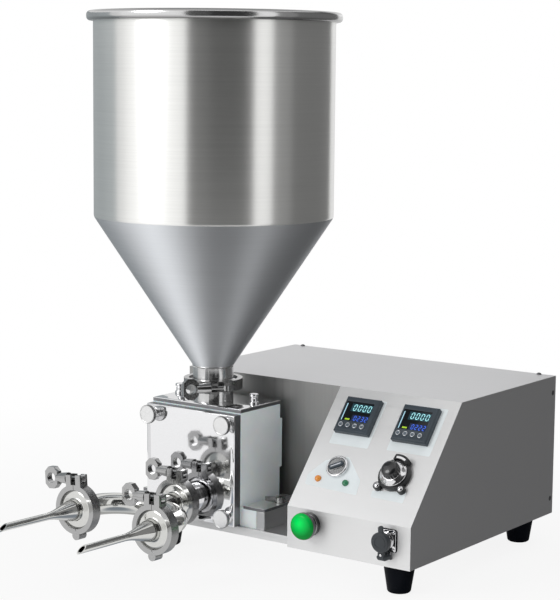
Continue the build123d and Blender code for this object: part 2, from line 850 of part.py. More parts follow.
with BuildPart() as hold_plates:
    for sign, (edge_x, width, foot) in rails.items():
        cover = width + hold_plate_overlap * foot
        with BuildSketch(Plane.XY.offset(z_plate)):
            with Locations((edge_x + sign * (width - cover / 2), y_block + pump_depth / 2)):
                Rectangle(cover, pump_depth)
        extrude(amount=hold_plate_thickness)
    with BuildSketch(Plane.XY.offset(z_plate)):
        with Locations(wing_spot):
            Circle(wing_shank_radius + seat_gap)
    extrude(amount=hold_plate_thickness, mode=Mode.SUBTRACT)
save(hold_plates, "hold_plates")

z_wing = z_plate + hold_plate_thickness + seat_gap
along_wing = Vector(1, 0, 0).rotate(Axis.Z, wing_turn)
wing_plane = Plane(origin=(*wing_spot, z_wing), x_dir=along_wing, z_dir=along_wing.cross(Vector(0, 0, 1)))
with BuildPart() as wing_screw:
    with BuildSketch(Plane.XY.offset(z_wing)):
        with Locations(wing_spot):
            Circle(wing_hub_radius)
    extrude(amount=wing_hub_height)
    with BuildSketch(Plane.XY.offset(z_wing)):
        with Locations(wing_spot):
            Circle(wing_shank_radius)
    extrude(amount=hole_end - hold_plate_thickness - wing_shank_length)
    for sign in (-1, 1):
        with BuildSketch(wing_plane.offset(-wing_thickness / 2)):
            with BuildLine():
                Polyline(
                    (0, wing_lift),
                    (sign * wing_hub_radius, wing_lift),
                    (sign * wing_span, wing_tip_lift),
                    (sign * wing_span, wing_height),
                    (sign * wing_shoulder, wing_height),
                    (0, wing_hub_height),
                    close=True,
                )
            make_face()
        extrude(amount=wing_thickness)
save(wing_screw, "wing_screw")

# Manifold: a bent cross tube with a ferrule at each arm, and a stub to the pump's outlet
cross_plane = Plane(origin=cross_centre, x_dir=across, z_dir=ahead.cross(across))
with BuildPart() as manifold:
    half = nozzle_spacing / 2
    arm_end = arm_length - half_gasket - ferrule_lip
    with BuildLine(cross_plane) as route:
        FilletPolyline((-half, -arm_end), (-half, 0), (half, 0), (half, -arm_end), radius=arm_bend)
    with BuildSketch(Plane(origin=route.line @ 0, z_dir=route.line % 0)):
        Circle(pipe_radius)
    sweep(path=route.line)
    pipe_bore = pipe_radius - pipe_wall
    add(ferrule_pipe(outlet_joint, 1, line_flange_radius, pipe_radius, pipe_bore, manifold_reach))
    for joint in nozzle_joints.values():
        add(ferrule_pipe(joint, -1, line_flange_radius, pipe_radius, pipe_bore, arm_length - arm_bend))
    with BuildSketch(Plane(origin=route.line @ 0, z_dir=route.line % 0)):
        Circle(pipe_bore)
    sweep(path=route.line, mode=Mode.SUBTRACT)
    with BuildSketch(outlet_joint):
        Circle(pipe_bore)
    extrude(amount=manifold_reach, mode=Mode.SUBTRACT)
save(manifold, "manifold")


def nozzle(joint):
    """A turned nozzle: ferrule, collar, cone and a needle with a slanted mouth that opens upwards."""
    collar = nozzle_collar_length
    cone = collar + nozzle_cone_length
    bore = pipe_radius - pipe_wall
    with BuildPart() as body:
        add(ferrule_pipe(joint, 1, line_flange_radius, pipe_radius, bore, collar))
        with BuildSketch(section_of(joint)):
            with BuildLine():
                Polyline(
                    (bore, collar),
                    (pipe_radius, collar),
                    (needle_radius, cone),
                    (needle_radius, nozzle_length),
                    (needle_bore, nozzle_length),
                    (needle_bore, cone),
                    close=True,
                )
            make_face()
        revolve(axis=axis_of(joint))
        tip = joint.origin + joint.z_dir * nozzle_length - joint.y_dir * needle_radius
        angle = math.radians(needle_bevel)
        mouth = joint.z_dir * math.cos(angle) + joint.y_dir * math.sin(angle)
        split(bisect_by=Plane(origin=tip, z_dir=mouth), keep=Keep.BOTTOM)
    return body


for side, joint in nozzle_joints.items():
    save(nozzle(joint), f"{side}_nozzle")

# Cabinet cover, base tray, rear panel and feet
tray_outline = [
    (x_right - cabinet_width, y_front + tray_setback),
    (x_right - control_width + sheet, y_front + tray_setback),
    (x_right - control_width + sheet, y_front + sheet),
    (x_right - sheet, y_front + sheet),
    (x_right - sheet, y_back),
    (x_right - cabinet_width + sheet, y_back),
    (x_right - cabinet_width + sheet, y_wall),
    (x_right - cabinet_width, y_wall),
]


with BuildSketch(Plane.XY.offset(z_base)) as tray_face:
    with BuildLine():
        Polyline(*tray_outline, close=True)
    make_face()


with BuildPart() as cabinet_cover:
    with BuildSketch(Plane.XY.offset(z_base)):
        with Locations((x_right, y_back)):
            Rectangle(cabinet_width, cabinet_depth - bay_depth, align=(Align.MAX, Align.MAX))
    extrude(amount=cabinet_height)
    with BuildSketch(Plane.YZ.offset(x_right)):
        with BuildLine():
            Polyline(
                (y_front, z_base),
                (y_back, z_base),
                (y_back, z_top),
                (y_wall, z_top),
                (y_front, z_base + strip_height),
                close=True,
            )
        make_face()
    extrude(amount=-control_width)
    offset(amount=-sheet, openings=[faces().sort_by(Axis.Z)[0], faces().sort_by(Axis.Y)[-1]])
    extrude(tray_face.sketch, amount=tray_height, mode=Mode.SUBTRACT)
    with BuildSketch(panel):
        with Locations(*meter_spots.values()):
            Rectangle(meter_case + 2 * seat_gap, meter_case + 2 * seat_gap)
        with Locations(selector_spot):
            Circle(selector_barrel_radius + seat_gap)
        with Locations(*lamp_spots.values()):
            Circle(lamp_radius + seat_gap)
        with Locations(dial_spot):
            Circle(dial_bushing_radius + seat_gap)
    extrude(amount=-2 * sheet, mode=Mode.SUBTRACT)
    with BuildSketch(strip):
        with Locations(button_spot):
            Circle(collar_barrel_radius + seat_gap)
        with Locations(socket_spot):
            Circle(socket_barrel_radius + seat_gap)
    extrude(amount=-2 * sheet, mode=Mode.SUBTRACT)
    with BuildSketch(facing_front(y_wall)):
        with Locations((drive_x, z_rotor)):
            Circle(spindle_radius + spindle_hole_gap)
    extrude(amount=-2 * sheet, mode=Mode.SUBTRACT)
save(cabinet_cover, "cabinet_cover")

with BuildPart() as base_tray:
    extrude(tray_face.sketch, amount=tray_height)
    hollow = offset(tray_face.sketch, amount=-sheet, kind=Kind.INTERSECTION, mode=Mode.PRIVATE)
    extrude(hollow, amount=tray_height - sheet, mode=Mode.SUBTRACT)
save(base_tray, "base_tray")

gland_x = x_right + gland_spot[0]
gland_z = z_base + gland_spot[1]
with BuildPart() as rear_panel:
    with BuildSketch(facing_front(y_back - rear_flange)):
        with Locations((x_right - cabinet_width / 2, z_tray)):
            Rectangle(
                cabinet_width - 2 * (sheet + seat_gap),
                cabinet_height - tray_height - sheet - seat_gap,
                align=(Align.CENTER, Align.MIN),
            )
    extrude(amount=-rear_flange)
    offset(amount=-sheet, openings=faces().sort_by(Axis.Y)[0])
    with BuildSketch(facing_front(y_back)):
        with Locations((gland_x, gland_z)):
            Circle(gland_thread_radius + seat_gap)
    extrude(amount=2 * sheet, mode=Mode.SUBTRACT)
save(rear_panel, "rear_panel")

with BuildPart() as cable_gland:
    with BuildSketch(facing_front(y_back)):
        with Locations((gland_x, gland_z)):
            RegularPolygon(gland_radius, 6)
    extrude(amount=-gland_proud / 2)
    with BuildSketch(facing_front(y_back + gland_proud / 2)):
        with Locations((gland_x, gland_z)):
            Circle(gland_cap_radius)
    extrude(amount=-gland_proud / 2)
    chamfer(edges().group_by(Axis.Y)[-1], gland_chamfer)
    with BuildSketch(facing_front(y_back)):
        with Locations((gland_x, gland_z)):
            Circle(gland_thread_radius)
    extrude(amount=sheet + gland_nut_height)
    with BuildSketch(facing_front(y_back - sheet)):
        with Locations((gland_x, gland_z)):
            RegularPolygon(gland_radius, 6)
    extrude(amount=gland_nut_height)
    with BuildSketch(facing_front(y_back)):
        with Locations((gland_x, gland_z)):
            Circle(gland_bore)
    extrude(amount=2 * gland_proud, both=True, mode=Mode.SUBTRACT)
save(cable_gland, "cable_gland")

foot_x = (x_right - cabinet_width + foot_inset_x, x_right - foot_inset_x)
foot_y = (y_front + foot_inset_y, y_back - foot_inset_y)
with BuildPart() as rubber_feet:
    for x in foot_x:
        for y in foot_y:
            with BuildSketch(Plane(origin=(x, y, 0), x_dir=(1, 0, 0), z_dir=(0, -1, 0))):
                with BuildLine():
                    Polyline(
                        (0, 0),
                        (foot_base_radius, 0),
                        (foot_top_radius, foot_height - moving_gap),
                        (foot_spigot_radius, foot_height - moving_gap),
                        (foot_spigot_radius, foot_height + tray_height - sheet),
                        (0, foot_height + tray_height - sheet),
                        close=True,
                    )
                make_face()
            revolve(axis=Axis((x, y, 0), (0, 0, 1)))
save(rubber_feet, "rubber_feet")


# Meters: a square bezel on the panel with its case behind, a display recess and four keys
def key_spots(centre):
    first = centre[0] + key_shift - 1.5 * key_pitch
    return [(first + key_pitch * step, centre[1] - key_drop) for step in range(4)]


for side, centre in meter_spots.items():
    with BuildPart() as meter:
        with BuildSketch(panel):
            with Locations(centre):
                Rectangle(meter_size, meter_size)
        extrude(amount=meter_bezel)
        chamfer(faces().sort_by(Axis(panel.origin, panel.z_dir))[-1].outer_wire().edges(), meter_chamfer)
        with BuildSketch(panel):
            with Locations(centre):
                Rectangle(meter_case, meter_case)
        extrude(amount=-meter_case_depth)
        with BuildSketch(panel.offset(meter_bezel)):
            with Locations((centre[0] + display_shift, centre[1] + display_rise)):
                Rectangle(display_width, display_height)
        extrude(amount=-display_recess, mode=Mode.SUBTRACT)
        with BuildSketch(panel.offset(meter_bezel)):
            with Locations(*key_spots(centre)):
                Circle(key_radius + running_gap)
        extrude(amount=-(key_depth + 2 * key_travel), mode=Mode.SUBTRACT)
    save(meter, f"{side}_meter")
    for number, spot in enumerate(key_spots(centre), start=1):
        with BuildPart() as key:
            with BuildSketch(panel.offset(meter_bezel - key_depth)):
                with Locations(spot):
                    Circle(key_radius)
            extrude(amount=key_depth + key_proud)
            chamfer(edges().sort_by(Axis(panel.origin, panel.z_dir))[-1], key_proud / 3)
        save(key, f"{side}_meter_key_{number}")

# Selector: a rimmed bezel with its barrel behind the panel, and a turning disc with a grip bar
selector_disc_radius = selector_radius - selector_rim - moving_gap
with BuildPart() as selector_body:
    with BuildSketch(panel):
        with Locations(selector_spot):
            Circle(selector_radius)
    extrude(amount=selector_height)
    chamfer(edges().sort_by(Axis(panel.origin, panel.z_dir))[-1], edge_chamfer)
    with BuildSketch(panel):
        with Locations(selector_spot):
            Circle(selector_barrel_radius)
    extrude(amount=-selector_barrel_length)
    with BuildSketch(panel.offset(selector_height)):
        with Locations(selector_spot):
            Circle(selector_radius - selector_rim)
    extrude(amount=-selector_height / 2, mode=Mode.SUBTRACT)
    with BuildSketch(panel.offset(selector_height)):
        with Locations(selector_spot):
            Circle(selector_stem_radius + running_gap)
    extrude(amount=-2 * selector_height, mode=Mode.SUBTRACT)
save(selector_body, "selector_body")

with BuildPart() as selector_knob:
    with BuildSketch(panel.offset(selector_height / 2 + moving_gap)):
        with Locations(selector_spot):
            Circle(selector_disc_radius)
    extrude(amount=selector_height / 3)
    with BuildSketch(panel.offset(selector_height / 2 + moving_gap)):
        with Locations(selector_spot):
            Circle(selector_stem_radius)
    extrude(amount=-selector_height)
    with BuildSketch(panel.offset(selector_height / 2 + moving_gap)):
        with Locations(selector_spot):
            SlotOverall(selector_bar_length, selector_bar_width, rotation=selector_bar_turn)
    extrude(amount=selector_height)
save(selector_knob, "selector_knob")

for colour, spot in lamp_spots.items():
    with BuildPart() as lamp:
        with BuildSketch(panel):
            with Locations(spot):
                Circle(lamp_radius)
        extrude(amount=-lamp_barrel_length)
        with BuildSketch(panel):
            with Locations(spot):
                Circle(lamp_head_radius)
        extrude(amount=lamp_height)
        fillet(edges().sort_by(Axis(panel.origin, panel.z_dir))[-1], lamp_round)
    save(lamp, f"{colour}_lamp")

# Counting dial: a black base with two screw lugs and a window, a chrome skirt and a ribbed knob
lug_spots = [
    (
        dial_spot[0] + dial_lug_reach * math.cos(math.radians(angle)),
        dial_spot[1] + dial_lug_reach * math.sin(math.radians(angle)),
    )
    for angle in dial_lug_angles
]
with BuildPart() as dial_base:
    with BuildSketch(panel):
        with Locations(dial_spot):
            Circle(dial_base_radius)
        with Locations(*lug_spots):
            Circle(dial_lug_radius)
    extrude(amount=dial_base_height)
    with BuildSketch(panel):
        with Locations(dial_spot):
            Circle(dial_window_reach)
            Circle(dial_window_reach - dial_window_depth, mode=Mode.SUBTRACT)
            Rectangle(
                dial_window_width,
                dial_window_reach,
                rotation=dial_window_turn,
                align=(Align.CENTER, Align.MIN),
                mode=Mode.INTERSECT,
            )
    extrude(amount=dial_base_height + dial_window_rise)
    with BuildSketch(panel):
        with Locations(dial_spot):
            Circle(dial_bushing_radius)
    extrude(amount=-2 * sheet)
    with BuildSketch(panel.offset(-sheet)):
        with Locations(dial_spot):
            Circle(dial_pot_radius)
    extrude(amount=-dial_pot_length)
    with BuildSketch(panel.offset(dial_base_height)):
        with Locations(dial_spot):
            Circle(dial_shaft_radius + running_gap)
    extrude(amount=-(dial_base_height + dial_pot_length / 2), mode=Mode.SUBTRACT)
save(dial_base, "dial_base")

skirt_foot = dial_base_height + moving_gap
skirt_top = skirt_foot + dial_skirt_height
with BuildPart() as dial_skirt:
    with BuildSketch(panel.offset(skirt_foot)):
        with Locations(dial_spot):
            Circle(dial_skirt_radius)
    with BuildSketch(panel.offset(skirt_top)):
        with Locations(dial_spot):
            Circle(dial_knob_radius + dial_skirt_step)
    loft()
    with BuildSketch(panel.offset(skirt_foot)):
        with Locations(dial_spot):
            Circle(dial_shaft_radius + running_gap)
    extrude(amount=dial_skirt_height, mode=Mode.SUBTRACT)
save(dial_skirt, "dial_skirt")

with BuildPart() as dial_knob:
    with BuildSketch(panel.offset(skirt_top)):
        with Locations(dial_spot):
            Circle(dial_knob_radius)
            with PolarLocations(dial_knob_radius, dial_knob_ribs):
                Circle(dial_rib_radius, mode=Mode.SUBTRACT)
    extrude(amount=dial_knob_height)
    with BuildSketch(panel.offset(skirt_top)):
        with Locations(dial_spot):
            Circle(dial_shaft_radius)
    extrude(amount=-(dial_skirt_height + dial_base_height + dial_pot_length / 3))
save(dial_knob, "dial_knob")

# Start button: a domed head whose neck slides in the collar
head_foot = collar_proud + button_travel + moving_gap
with BuildPart() as button_collar:
    with BuildSketch(strip):
        with Locations(button_spot):
            Circle(collar_radius)
    extrude(amount=collar_proud)
    chamfer(edges().group_by(Axis.Y)[0], collar_chamfer)
    with BuildSketch(strip):
        with Locations(button_spot):
            Circle(collar_barrel_radius)
    extrude(amount=-collar_barrel_length)
    with BuildSketch(strip.offset(collar_proud)):
        with Locations(button_spot):
            Circle(button_neck_radius + moving_gap)
    extrude(amount=-(collar_proud + button_travel + hole_end), mode=Mode.SUBTRACT)
    with BuildSketch(strip):
        with Locations(button_spot):
            Circle(button_stem_radius + running_gap)
    extrude(amount=-(button_stem_length + button_travel + hole_end), mode=Mode.SUBTRACT)
save(button_collar, "button_collar")

with BuildPart() as start_button:
    with BuildSketch(strip.offset(head_foot)):
        with Locations(button_spot):
            Circle(button_radius)
    extrude(amount=button_proud - head_foot)
    fillet(edges().group_by(Axis.Y)[0], button_dome)
    with BuildSketch(strip):
        with Locations(button_spot):
            Circle(button_neck_radius)
    extrude(amount=head_foot)
    with BuildSketch(strip):
        with Locations(button_spot):
            Circle(button_stem_radius)
    extrude(amount=-button_stem_length)
save(start_button, "start_button")

# Pedal socket: a square flange with a tube and hinge lugs, and a lid on a pin below it
cap_mouth = socket_flange_thickness + cap_mouth_gap
hinge_z = socket_spot[1] - cap_hinge_drop
hinge_y = cap_mouth  # in the plane of the lid's mouth, so that its rim lifts straight off the tube
lug_plate_height = 2 * (cap_hinge_drop + cap_hinge_radius) - socket_flange_size
lug_x = cap_ear_width / 2 + moving_gap
hinge_side = Plane(
    origin=(x_right + socket_spot[0], y_front, z_base), x_dir=(0, -1, 0), z_dir=(-1, 0, 0)
)
socket_depth = socket_flange_thickness + socket_tube_length + socket_barrel_length / 2
with BuildPart() as pedal_socket:
    with BuildSketch(strip):
        with Locations(socket_spot):
            RectangleRounded(socket_flange_size, socket_flange_size, socket_corner)
        with Locations((socket_spot[0], socket_spot[1] - socket_flange_size / 2)):
            Rectangle(2 * (lug_x + cap_lug_width), lug_plate_height)
    extrude(amount=socket_flange_thickness)
    with BuildSketch(strip):
        with Locations(socket_spot):
            Circle(socket_tube_radius)
    extrude(amount=socket_flange_thickness + socket_tube_length)
    with BuildSketch(strip):
        with Locations(socket_spot):
            Circle(socket_barrel_radius)
    extrude(amount=-socket_barrel_length)
    with BuildSketch(strip.offset(socket_flange_thickness + socket_tube_length)):
        with Locations(socket_spot):
            Circle(socket_bore_radius)
    extrude(amount=-socket_depth, mode=Mode.SUBTRACT)
    for sign in (-1, 1):
        with BuildSketch(hinge_side.offset(sign * lug_x)):
            with Locations((hinge_y, hinge_z)):
                Circle(cap_hinge_radius)
            with Locations((hinge_y / 2, hinge_z)):
                Rectangle(hinge_y, 2 * cap_hinge_radius)
        extrude(amount=sign * cap_lug_width, taper=cap_lug_taper)
    with BuildSketch(hinge_side):
        with Locations((hinge_y, hinge_z)):
            Circle(cap_pin_radius)
    extrude(amount=lug_x + cap_lug_width, both=True)
save(pedal_socket, "pedal_socket")

ear_height = cap_hinge_drop - cap_radius + cap_wall
with BuildPart() as socket_cap:
    with BuildSketch(strip.offset(cap_mouth)):
        with Locations(socket_spot):
            Circle(cap_radius)
    extrude(amount=cap_length)
    chamfer(edges().group_by(Axis.Y)[0], cap_chamfer)
    with BuildSketch(strip.offset(cap_mouth + cap_tab_setback)):
        with Locations((socket_spot[0], socket_spot[1] + cap_radius)):
            SlotOverall(cap_tab_height, cap_tab_width, rotation=90)
    extrude(amount=cap_tab_thickness)
    with BuildSketch(hinge_side.offset(-cap_ear_width / 2)):
        with Locations((hinge_y, hinge_z)):
            Circle(cap_hinge_radius)
        with Locations((hinge_y + cap_hinge_radius / 2, hinge_z + ear_height / 2)):
            Rectangle(cap_hinge_radius, ear_height)
    extrude(amount=cap_ear_width)
    with BuildSketch(hinge_side):
        with Locations((hinge_y, hinge_z)):
            Circle(cap_pin_radius + running_gap)
    extrude(amount=cap_ear_width, both=True, mode=Mode.SUBTRACT)
    with BuildSketch(strip.offset(cap_mouth)):
        with Locations(socket_spot):
            Circle(cap_radius - cap_wall)
    extrude(amount=cap_length - 2 * cap_wall, mode=Mode.SUBTRACT)
save(socket_cap, "socket_cap")
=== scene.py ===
# %% [markdown]
# # Dressing a filling depositor
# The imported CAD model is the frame: it holds every size, every joint and every place. This lesson gives
# it the looks of the real machine: spun and brushed steel, mirror plates, cast clamps, moulded plastics,
# lit displays and small screws. Then it builds a pale studio and puts the camera where the photographer
# stood. Lengths in the outlines are millimetres; Blender itself works in metres.

# %% Load the frame
import json
import math

import bmesh
import bpy
from mathutils import Matrix, Vector


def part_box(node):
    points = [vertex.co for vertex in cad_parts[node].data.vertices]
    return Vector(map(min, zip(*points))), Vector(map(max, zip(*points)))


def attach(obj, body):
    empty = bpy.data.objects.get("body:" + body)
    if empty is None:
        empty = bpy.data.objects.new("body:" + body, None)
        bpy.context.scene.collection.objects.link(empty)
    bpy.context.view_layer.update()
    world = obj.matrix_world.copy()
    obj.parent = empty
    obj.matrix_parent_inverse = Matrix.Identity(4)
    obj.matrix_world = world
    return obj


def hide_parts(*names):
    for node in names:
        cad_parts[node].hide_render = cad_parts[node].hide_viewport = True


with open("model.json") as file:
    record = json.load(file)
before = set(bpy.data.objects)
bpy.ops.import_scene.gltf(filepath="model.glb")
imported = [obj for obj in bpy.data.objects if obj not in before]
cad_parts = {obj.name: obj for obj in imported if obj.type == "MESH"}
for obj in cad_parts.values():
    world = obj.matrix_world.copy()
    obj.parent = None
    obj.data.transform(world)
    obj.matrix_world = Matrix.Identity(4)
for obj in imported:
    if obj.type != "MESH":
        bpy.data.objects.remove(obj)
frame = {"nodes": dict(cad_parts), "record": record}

mm = 0.001
scene = bpy.context.scene
scene.view_settings.view_transform = "Standard"
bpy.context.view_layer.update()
nodes = frame["nodes"]
record = frame["record"]
body_of = {node: body for body, group in record["behaviour"]["bodies"].items() for node in group}

# %% [markdown]
# ## A small kit for nodes
# A finish is a small network. One helper adds a node and wires it up: an input that is given another node's
# output is linked to it, and any other input takes the value. The rest name the steps that come back often.

# %% Node helpers
def add_node(tree, kind, inputs=(), **settings):
    node = tree.nodes.new(f"ShaderNode{kind}")
    for name, value in settings.items():
        setattr(node, name, value)
    for name, value in dict(inputs).items():
        if isinstance(value, bpy.types.NodeSocket):
            tree.links.new(value, node.inputs[name])
        else:
            node.inputs[name].default_value = value
    return node


def number_math(tree, operation, *values):
    return add_node(tree, "Math", enumerate(values), operation=operation).outputs[0]


def vector_math(tree, operation, *values):
    step = add_node(tree, "VectorMath", enumerate(values), operation=operation)
    return step.outputs["Value" if operation == "LENGTH" else "Vector"]


def map_range(tree, value, start, end, low=0.0, high=1.0, **settings):
    """A number that goes from low to high while the value goes from start to end."""
    limits = {"From Min": start, "From Max": end, "To Min": low, "To Max": high}
    return add_node(tree, "MapRange", {"Value": value, **limits}, **settings).outputs["Result"]


def position(tree):
    """The shaded point in Object coordinates."""
    return add_node(tree, "TexCoord").outputs["Object"]


# %% [markdown]
# ## A small kit for finishes
# Every finish is a Principled shader with a pattern behind it. Four helpers cover them all: a noise that
# can be stretched into brush marks, a range of colours, a range of roughness, and a bump. The patterns read
# Object coordinates, which are metres in the shared frame, so a grain keeps its real size on every piece.
# Nearly all of a noise lies between 0.3 and 0.7, so the ranges run between those two.

# %% Finish helpers
noise_low, noise_high = 0.3, 0.7


def shade(colour, factor):
    return tuple(min(1.0, part * factor) for part in colour)


def shader_of(finish):
    return finish.node_tree.nodes["Principled BSDF"]


def feed(finish, source, socket):
    finish.node_tree.links.new(source, shader_of(finish).inputs[socket])


def new_finish(name, colour, roughness, **sockets):
    finish = bpy.data.materials.new(name)
    finish.use_nodes = True
    finish.diffuse_color = (*colour, 1)
    sockets.update(Base_Color=(*colour, 1), Roughness=roughness)
    for socket, value in sockets.items():
        shader_of(finish).inputs[socket.replace("_", " ")].default_value = value
    return finish


def grain(finish, cells, centre=(0, 0, 0), detail=3.0):
    """Noise with its own number of cells per metre along X, Y and Z."""
    tree = finish.node_tree
    size = [1 / count for count in cells]
    lay = add_node(
        tree, "Mapping", {"Vector": position(tree), "Location": centre, "Scale": size}, vector_type="TEXTURE"
    )
    noise = add_node(tree, "TexNoise", {"Vector": lay.outputs["Vector"], "Scale": 1, "Detail": detail})
    return noise.outputs["Fac"]


def colour_range(finish, pattern, colour, low, high, start=noise_low, end=noise_high):
    """From low to high times the colour, while the pattern goes from start to end."""
    ramp = add_node(finish.node_tree, "ValToRGB", {"Fac": pattern})
    for stop, spot, factor in zip(ramp.color_ramp.elements, (start, end), (low, high)):
        stop.position = spot
        stop.color = (*shade(colour, factor), 1)
    feed(finish, ramp.outputs["Color"], "Base Color")


def rough_range(finish, pattern, roughness, low, high):
    """From low to high times the roughness."""
    span = map_range(finish.node_tree, pattern, noise_low, noise_high, roughness * low, roughness * high)
    feed(finish, span, "Roughness")


def raised(finish, pattern, height):
    """A bump whose full range stands height millimetres proud."""
    bump = add_node(finish.node_tree, "Bump", {"Height": pattern, "Strength": 1, "Distance": height * mm})
    feed(finish, bump.outputs["Normal"], "Normal")


# %% [markdown]
# ## Steel
# Stainless steel is what this machine is made of, and its finishes differ only in how it was worked. A
# brushed surface has long scratches in one direction, which spread a reflection across them; a mirror
# surface has next to none, but is never quite flat. So a brushed finish takes a noise that is stretched
# along the brushing, up to a hundredfold, and a polished one takes a soft, slow wave.

# %% Steel finishes
hopper_low, hopper_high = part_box("hopper")
hopper_axis = (hopper_low + hopper_high) / 2
sheen_spread, scratch_depth, haze_cells = 0.15, 0.002, 900


def brushed_steel(name, colour, roughness, cells, variation=0.04):
    finish = new_finish(name, colour, roughness, Metallic=1)
    marks = grain(finish, cells)
    colour_range(finish, marks, colour, 1 - variation, 1 + variation)
    rough_range(finish, marks, roughness, 1 - sheen_spread, 1 + sheen_spread)
    raised(finish, marks, scratch_depth)
    return finish


def spun_steel(name, colour, roughness, cells, drawn=0.9, stepped=False):
    """Steel brushed round the hopper's axis, which draws its reflections out along that axis."""
    finish = new_finish(name, colour, roughness, Metallic=1, Anisotropic=drawn, Anisotropic_Rotation=0.25)
    tree = finish.node_tree
    arm_out = vector_math(tree, "SUBTRACT", position(tree), hopper_axis)
    feed(finish, vector_math(tree, "CROSS_PRODUCT", (0, 0, 1), arm_out), "Tangent")
    if stepped:
        level = vector_math(tree, "MULTIPLY", arm_out, (1, 1, 0))
        feed(finish, vector_math(tree, "NORMALIZE", level), "Normal")
    marks = grain(finish, cells, hopper_axis)
    colour_range(finish, marks, colour, 0.975, 1.025)
    rough_range(finish, marks, roughness, 0.97, 1.03)
    return finish


def crest_shaded_steel(name, colour, roughness, middle, half, crest=0.3, painted_shade=0.22):
    """Steel whose colour is full along a crest at one height and darker up to half its width either way: a
    painted highlight and painted shade.
    """
    finish = new_finish(name, colour, roughness, Metallic=1)
    tree = finish.node_tree
    height = add_node(tree, "SeparateXYZ", {"Vector": position(tree)}).outputs["Z"]
    away = number_math(tree, "ABSOLUTE", number_math(tree, "SUBTRACT", height, middle))
    colour_range(finish, map_range(tree, away, crest * half, half), colour, 1, painted_shade, start=0, end=1)
    return finish


def polished_steel(name, colour, roughness, cells, depth=0.004):
    finish = new_finish(name, colour, roughness, Metallic=1)
    wave = grain(finish, (cells,) * 3, detail=1.0)
    haze = grain(finish, (haze_cells,) * 3)
    colour_range(finish, haze, colour, 0.95, 1.03)
    rough_range(finish, haze, roughness, 0.6, 1.5)
    raised(finish, wave, depth)
    return finish


round_z, along_x, along_y, along_z = (6, 6, 600), (9, 500, 500), (400, 12, 400), (220, 220, 3)
hopper_steel = spun_steel("spun hopper steel", (0.88, 0.88, 0.86), 0.31, round_z, drawn=0.82)
# The cone's colour is much darker than the cylinder's: painted shade. Its rougher, less drawn finish is its
# own.
shaded_cone_steel = spun_steel("stepped cone steel, darkened as painted shade", (0.555, 0.57, 0.59), 0.54, round_z, drawn=0.5, stepped=True)
neck_steel = spun_steel("turned neck steel", (0.62,) * 3, 0.18, (6, 6, 500))
# The sawn edges are dark: a duller cut face, darkened further as painted shade.
sawn_shaded_edge_steel = brushed_steel("sawn plate edges, darkened as painted shade", (0.26, 0.26, 0.27), 0.4, (60, 60, 400))
sheet_steel = brushed_steel("brushed cabinet sheet", (0.68, 0.68, 0.69), 0.42, along_x, variation=0.02)
# The front sheet is rougher, as blasted, and paler than the cabinet sheet: painted light on the faces that
# face the light.
lit_front_sheet = brushed_steel("blasted front sheet, paler as painted light", (0.79,) * 3, 0.55, along_x, variation=0.02)
# The bay sheet is darker than the cabinet sheet: painted shade for the recess of the pump bay.
bay_shade_sheet = brushed_steel("bay sheet in painted shade", (0.35, 0.35, 0.345), 0.5, along_z, variation=0.08)
bar_steel = brushed_steel("brushed bar steel", (0.58,) * 3, 0.38, along_y, variation=0.02)
hold_steel = brushed_steel("brushed plate steel", (0.8, 0.82, 0.8), 0.42, along_y, variation=0.02)
turned_steel = brushed_steel("turned steel", (0.8,) * 3, 0.18, (500, 60, 500))
key_silver = brushed_steel("silver key rings", (0.66, 0.68, 0.72), 0.32, (900,) * 3)
mirror_steel = polished_steel("mirror plate steel", (0.86, 0.86, 0.87), 0.05, cells=25, depth=0.01)
cast_steel = polished_steel("polished clamp casting", (0.44,) * 3, 0.14, cells=220, depth=0.02)
# The casting skin is rougher, and its darker colour is painted shade on the bands' sides.
skin_and_shade_steel = polished_steel("clamp casting skin and painted shade", (0.27,) * 3, 0.32, cells=400, depth=0.02)
tube_steel = polished_steel("polished tube steel", (0.68, 0.68, 0.66), 0.09, cells=120, depth=0.01)
chrome = polished_steel("chromed controls", (0.78, 0.78, 0.79), 0.08, cells=150, depth=0.003)
rim_steel = polished_steel("knurled rim steel", (0.3,) * 3, 0.25, cells=300)
dark_screw = polished_steel("dark plated screws", (0.16, 0.16, 0.17), 0.3, cells=300, depth=0.01)

# %% [markdown]
# ## Plastics, rubber, lenses and film
# Moulded plastic carries the fine spark-eroded texture of its mould, rubber a duller and coarser one, and
# acetal block a faint cloudiness with light creeping in below its skin. The dial's grip, the lenses and the
# push button are glossy, so they get a clear coat. The label films are pale and nearly matt.

# %% Moulded finishes
cloud_cells = 40


def moulded(name, colour, roughness, cells=1500, depth=0.01, variation=0.12, **sockets):
    finish = new_finish(name, colour, roughness, **sockets)
    texture = grain(finish, (cells,) * 3)
    cloud = grain(finish, (cloud_cells,) * 3)
    colour_range(finish, cloud, colour, 1 - variation, 1 + variation)
    rough_range(finish, texture, roughness, 1 - sheen_spread, 1 + sheen_spread)
    raised(finish, texture, depth)
    return finish


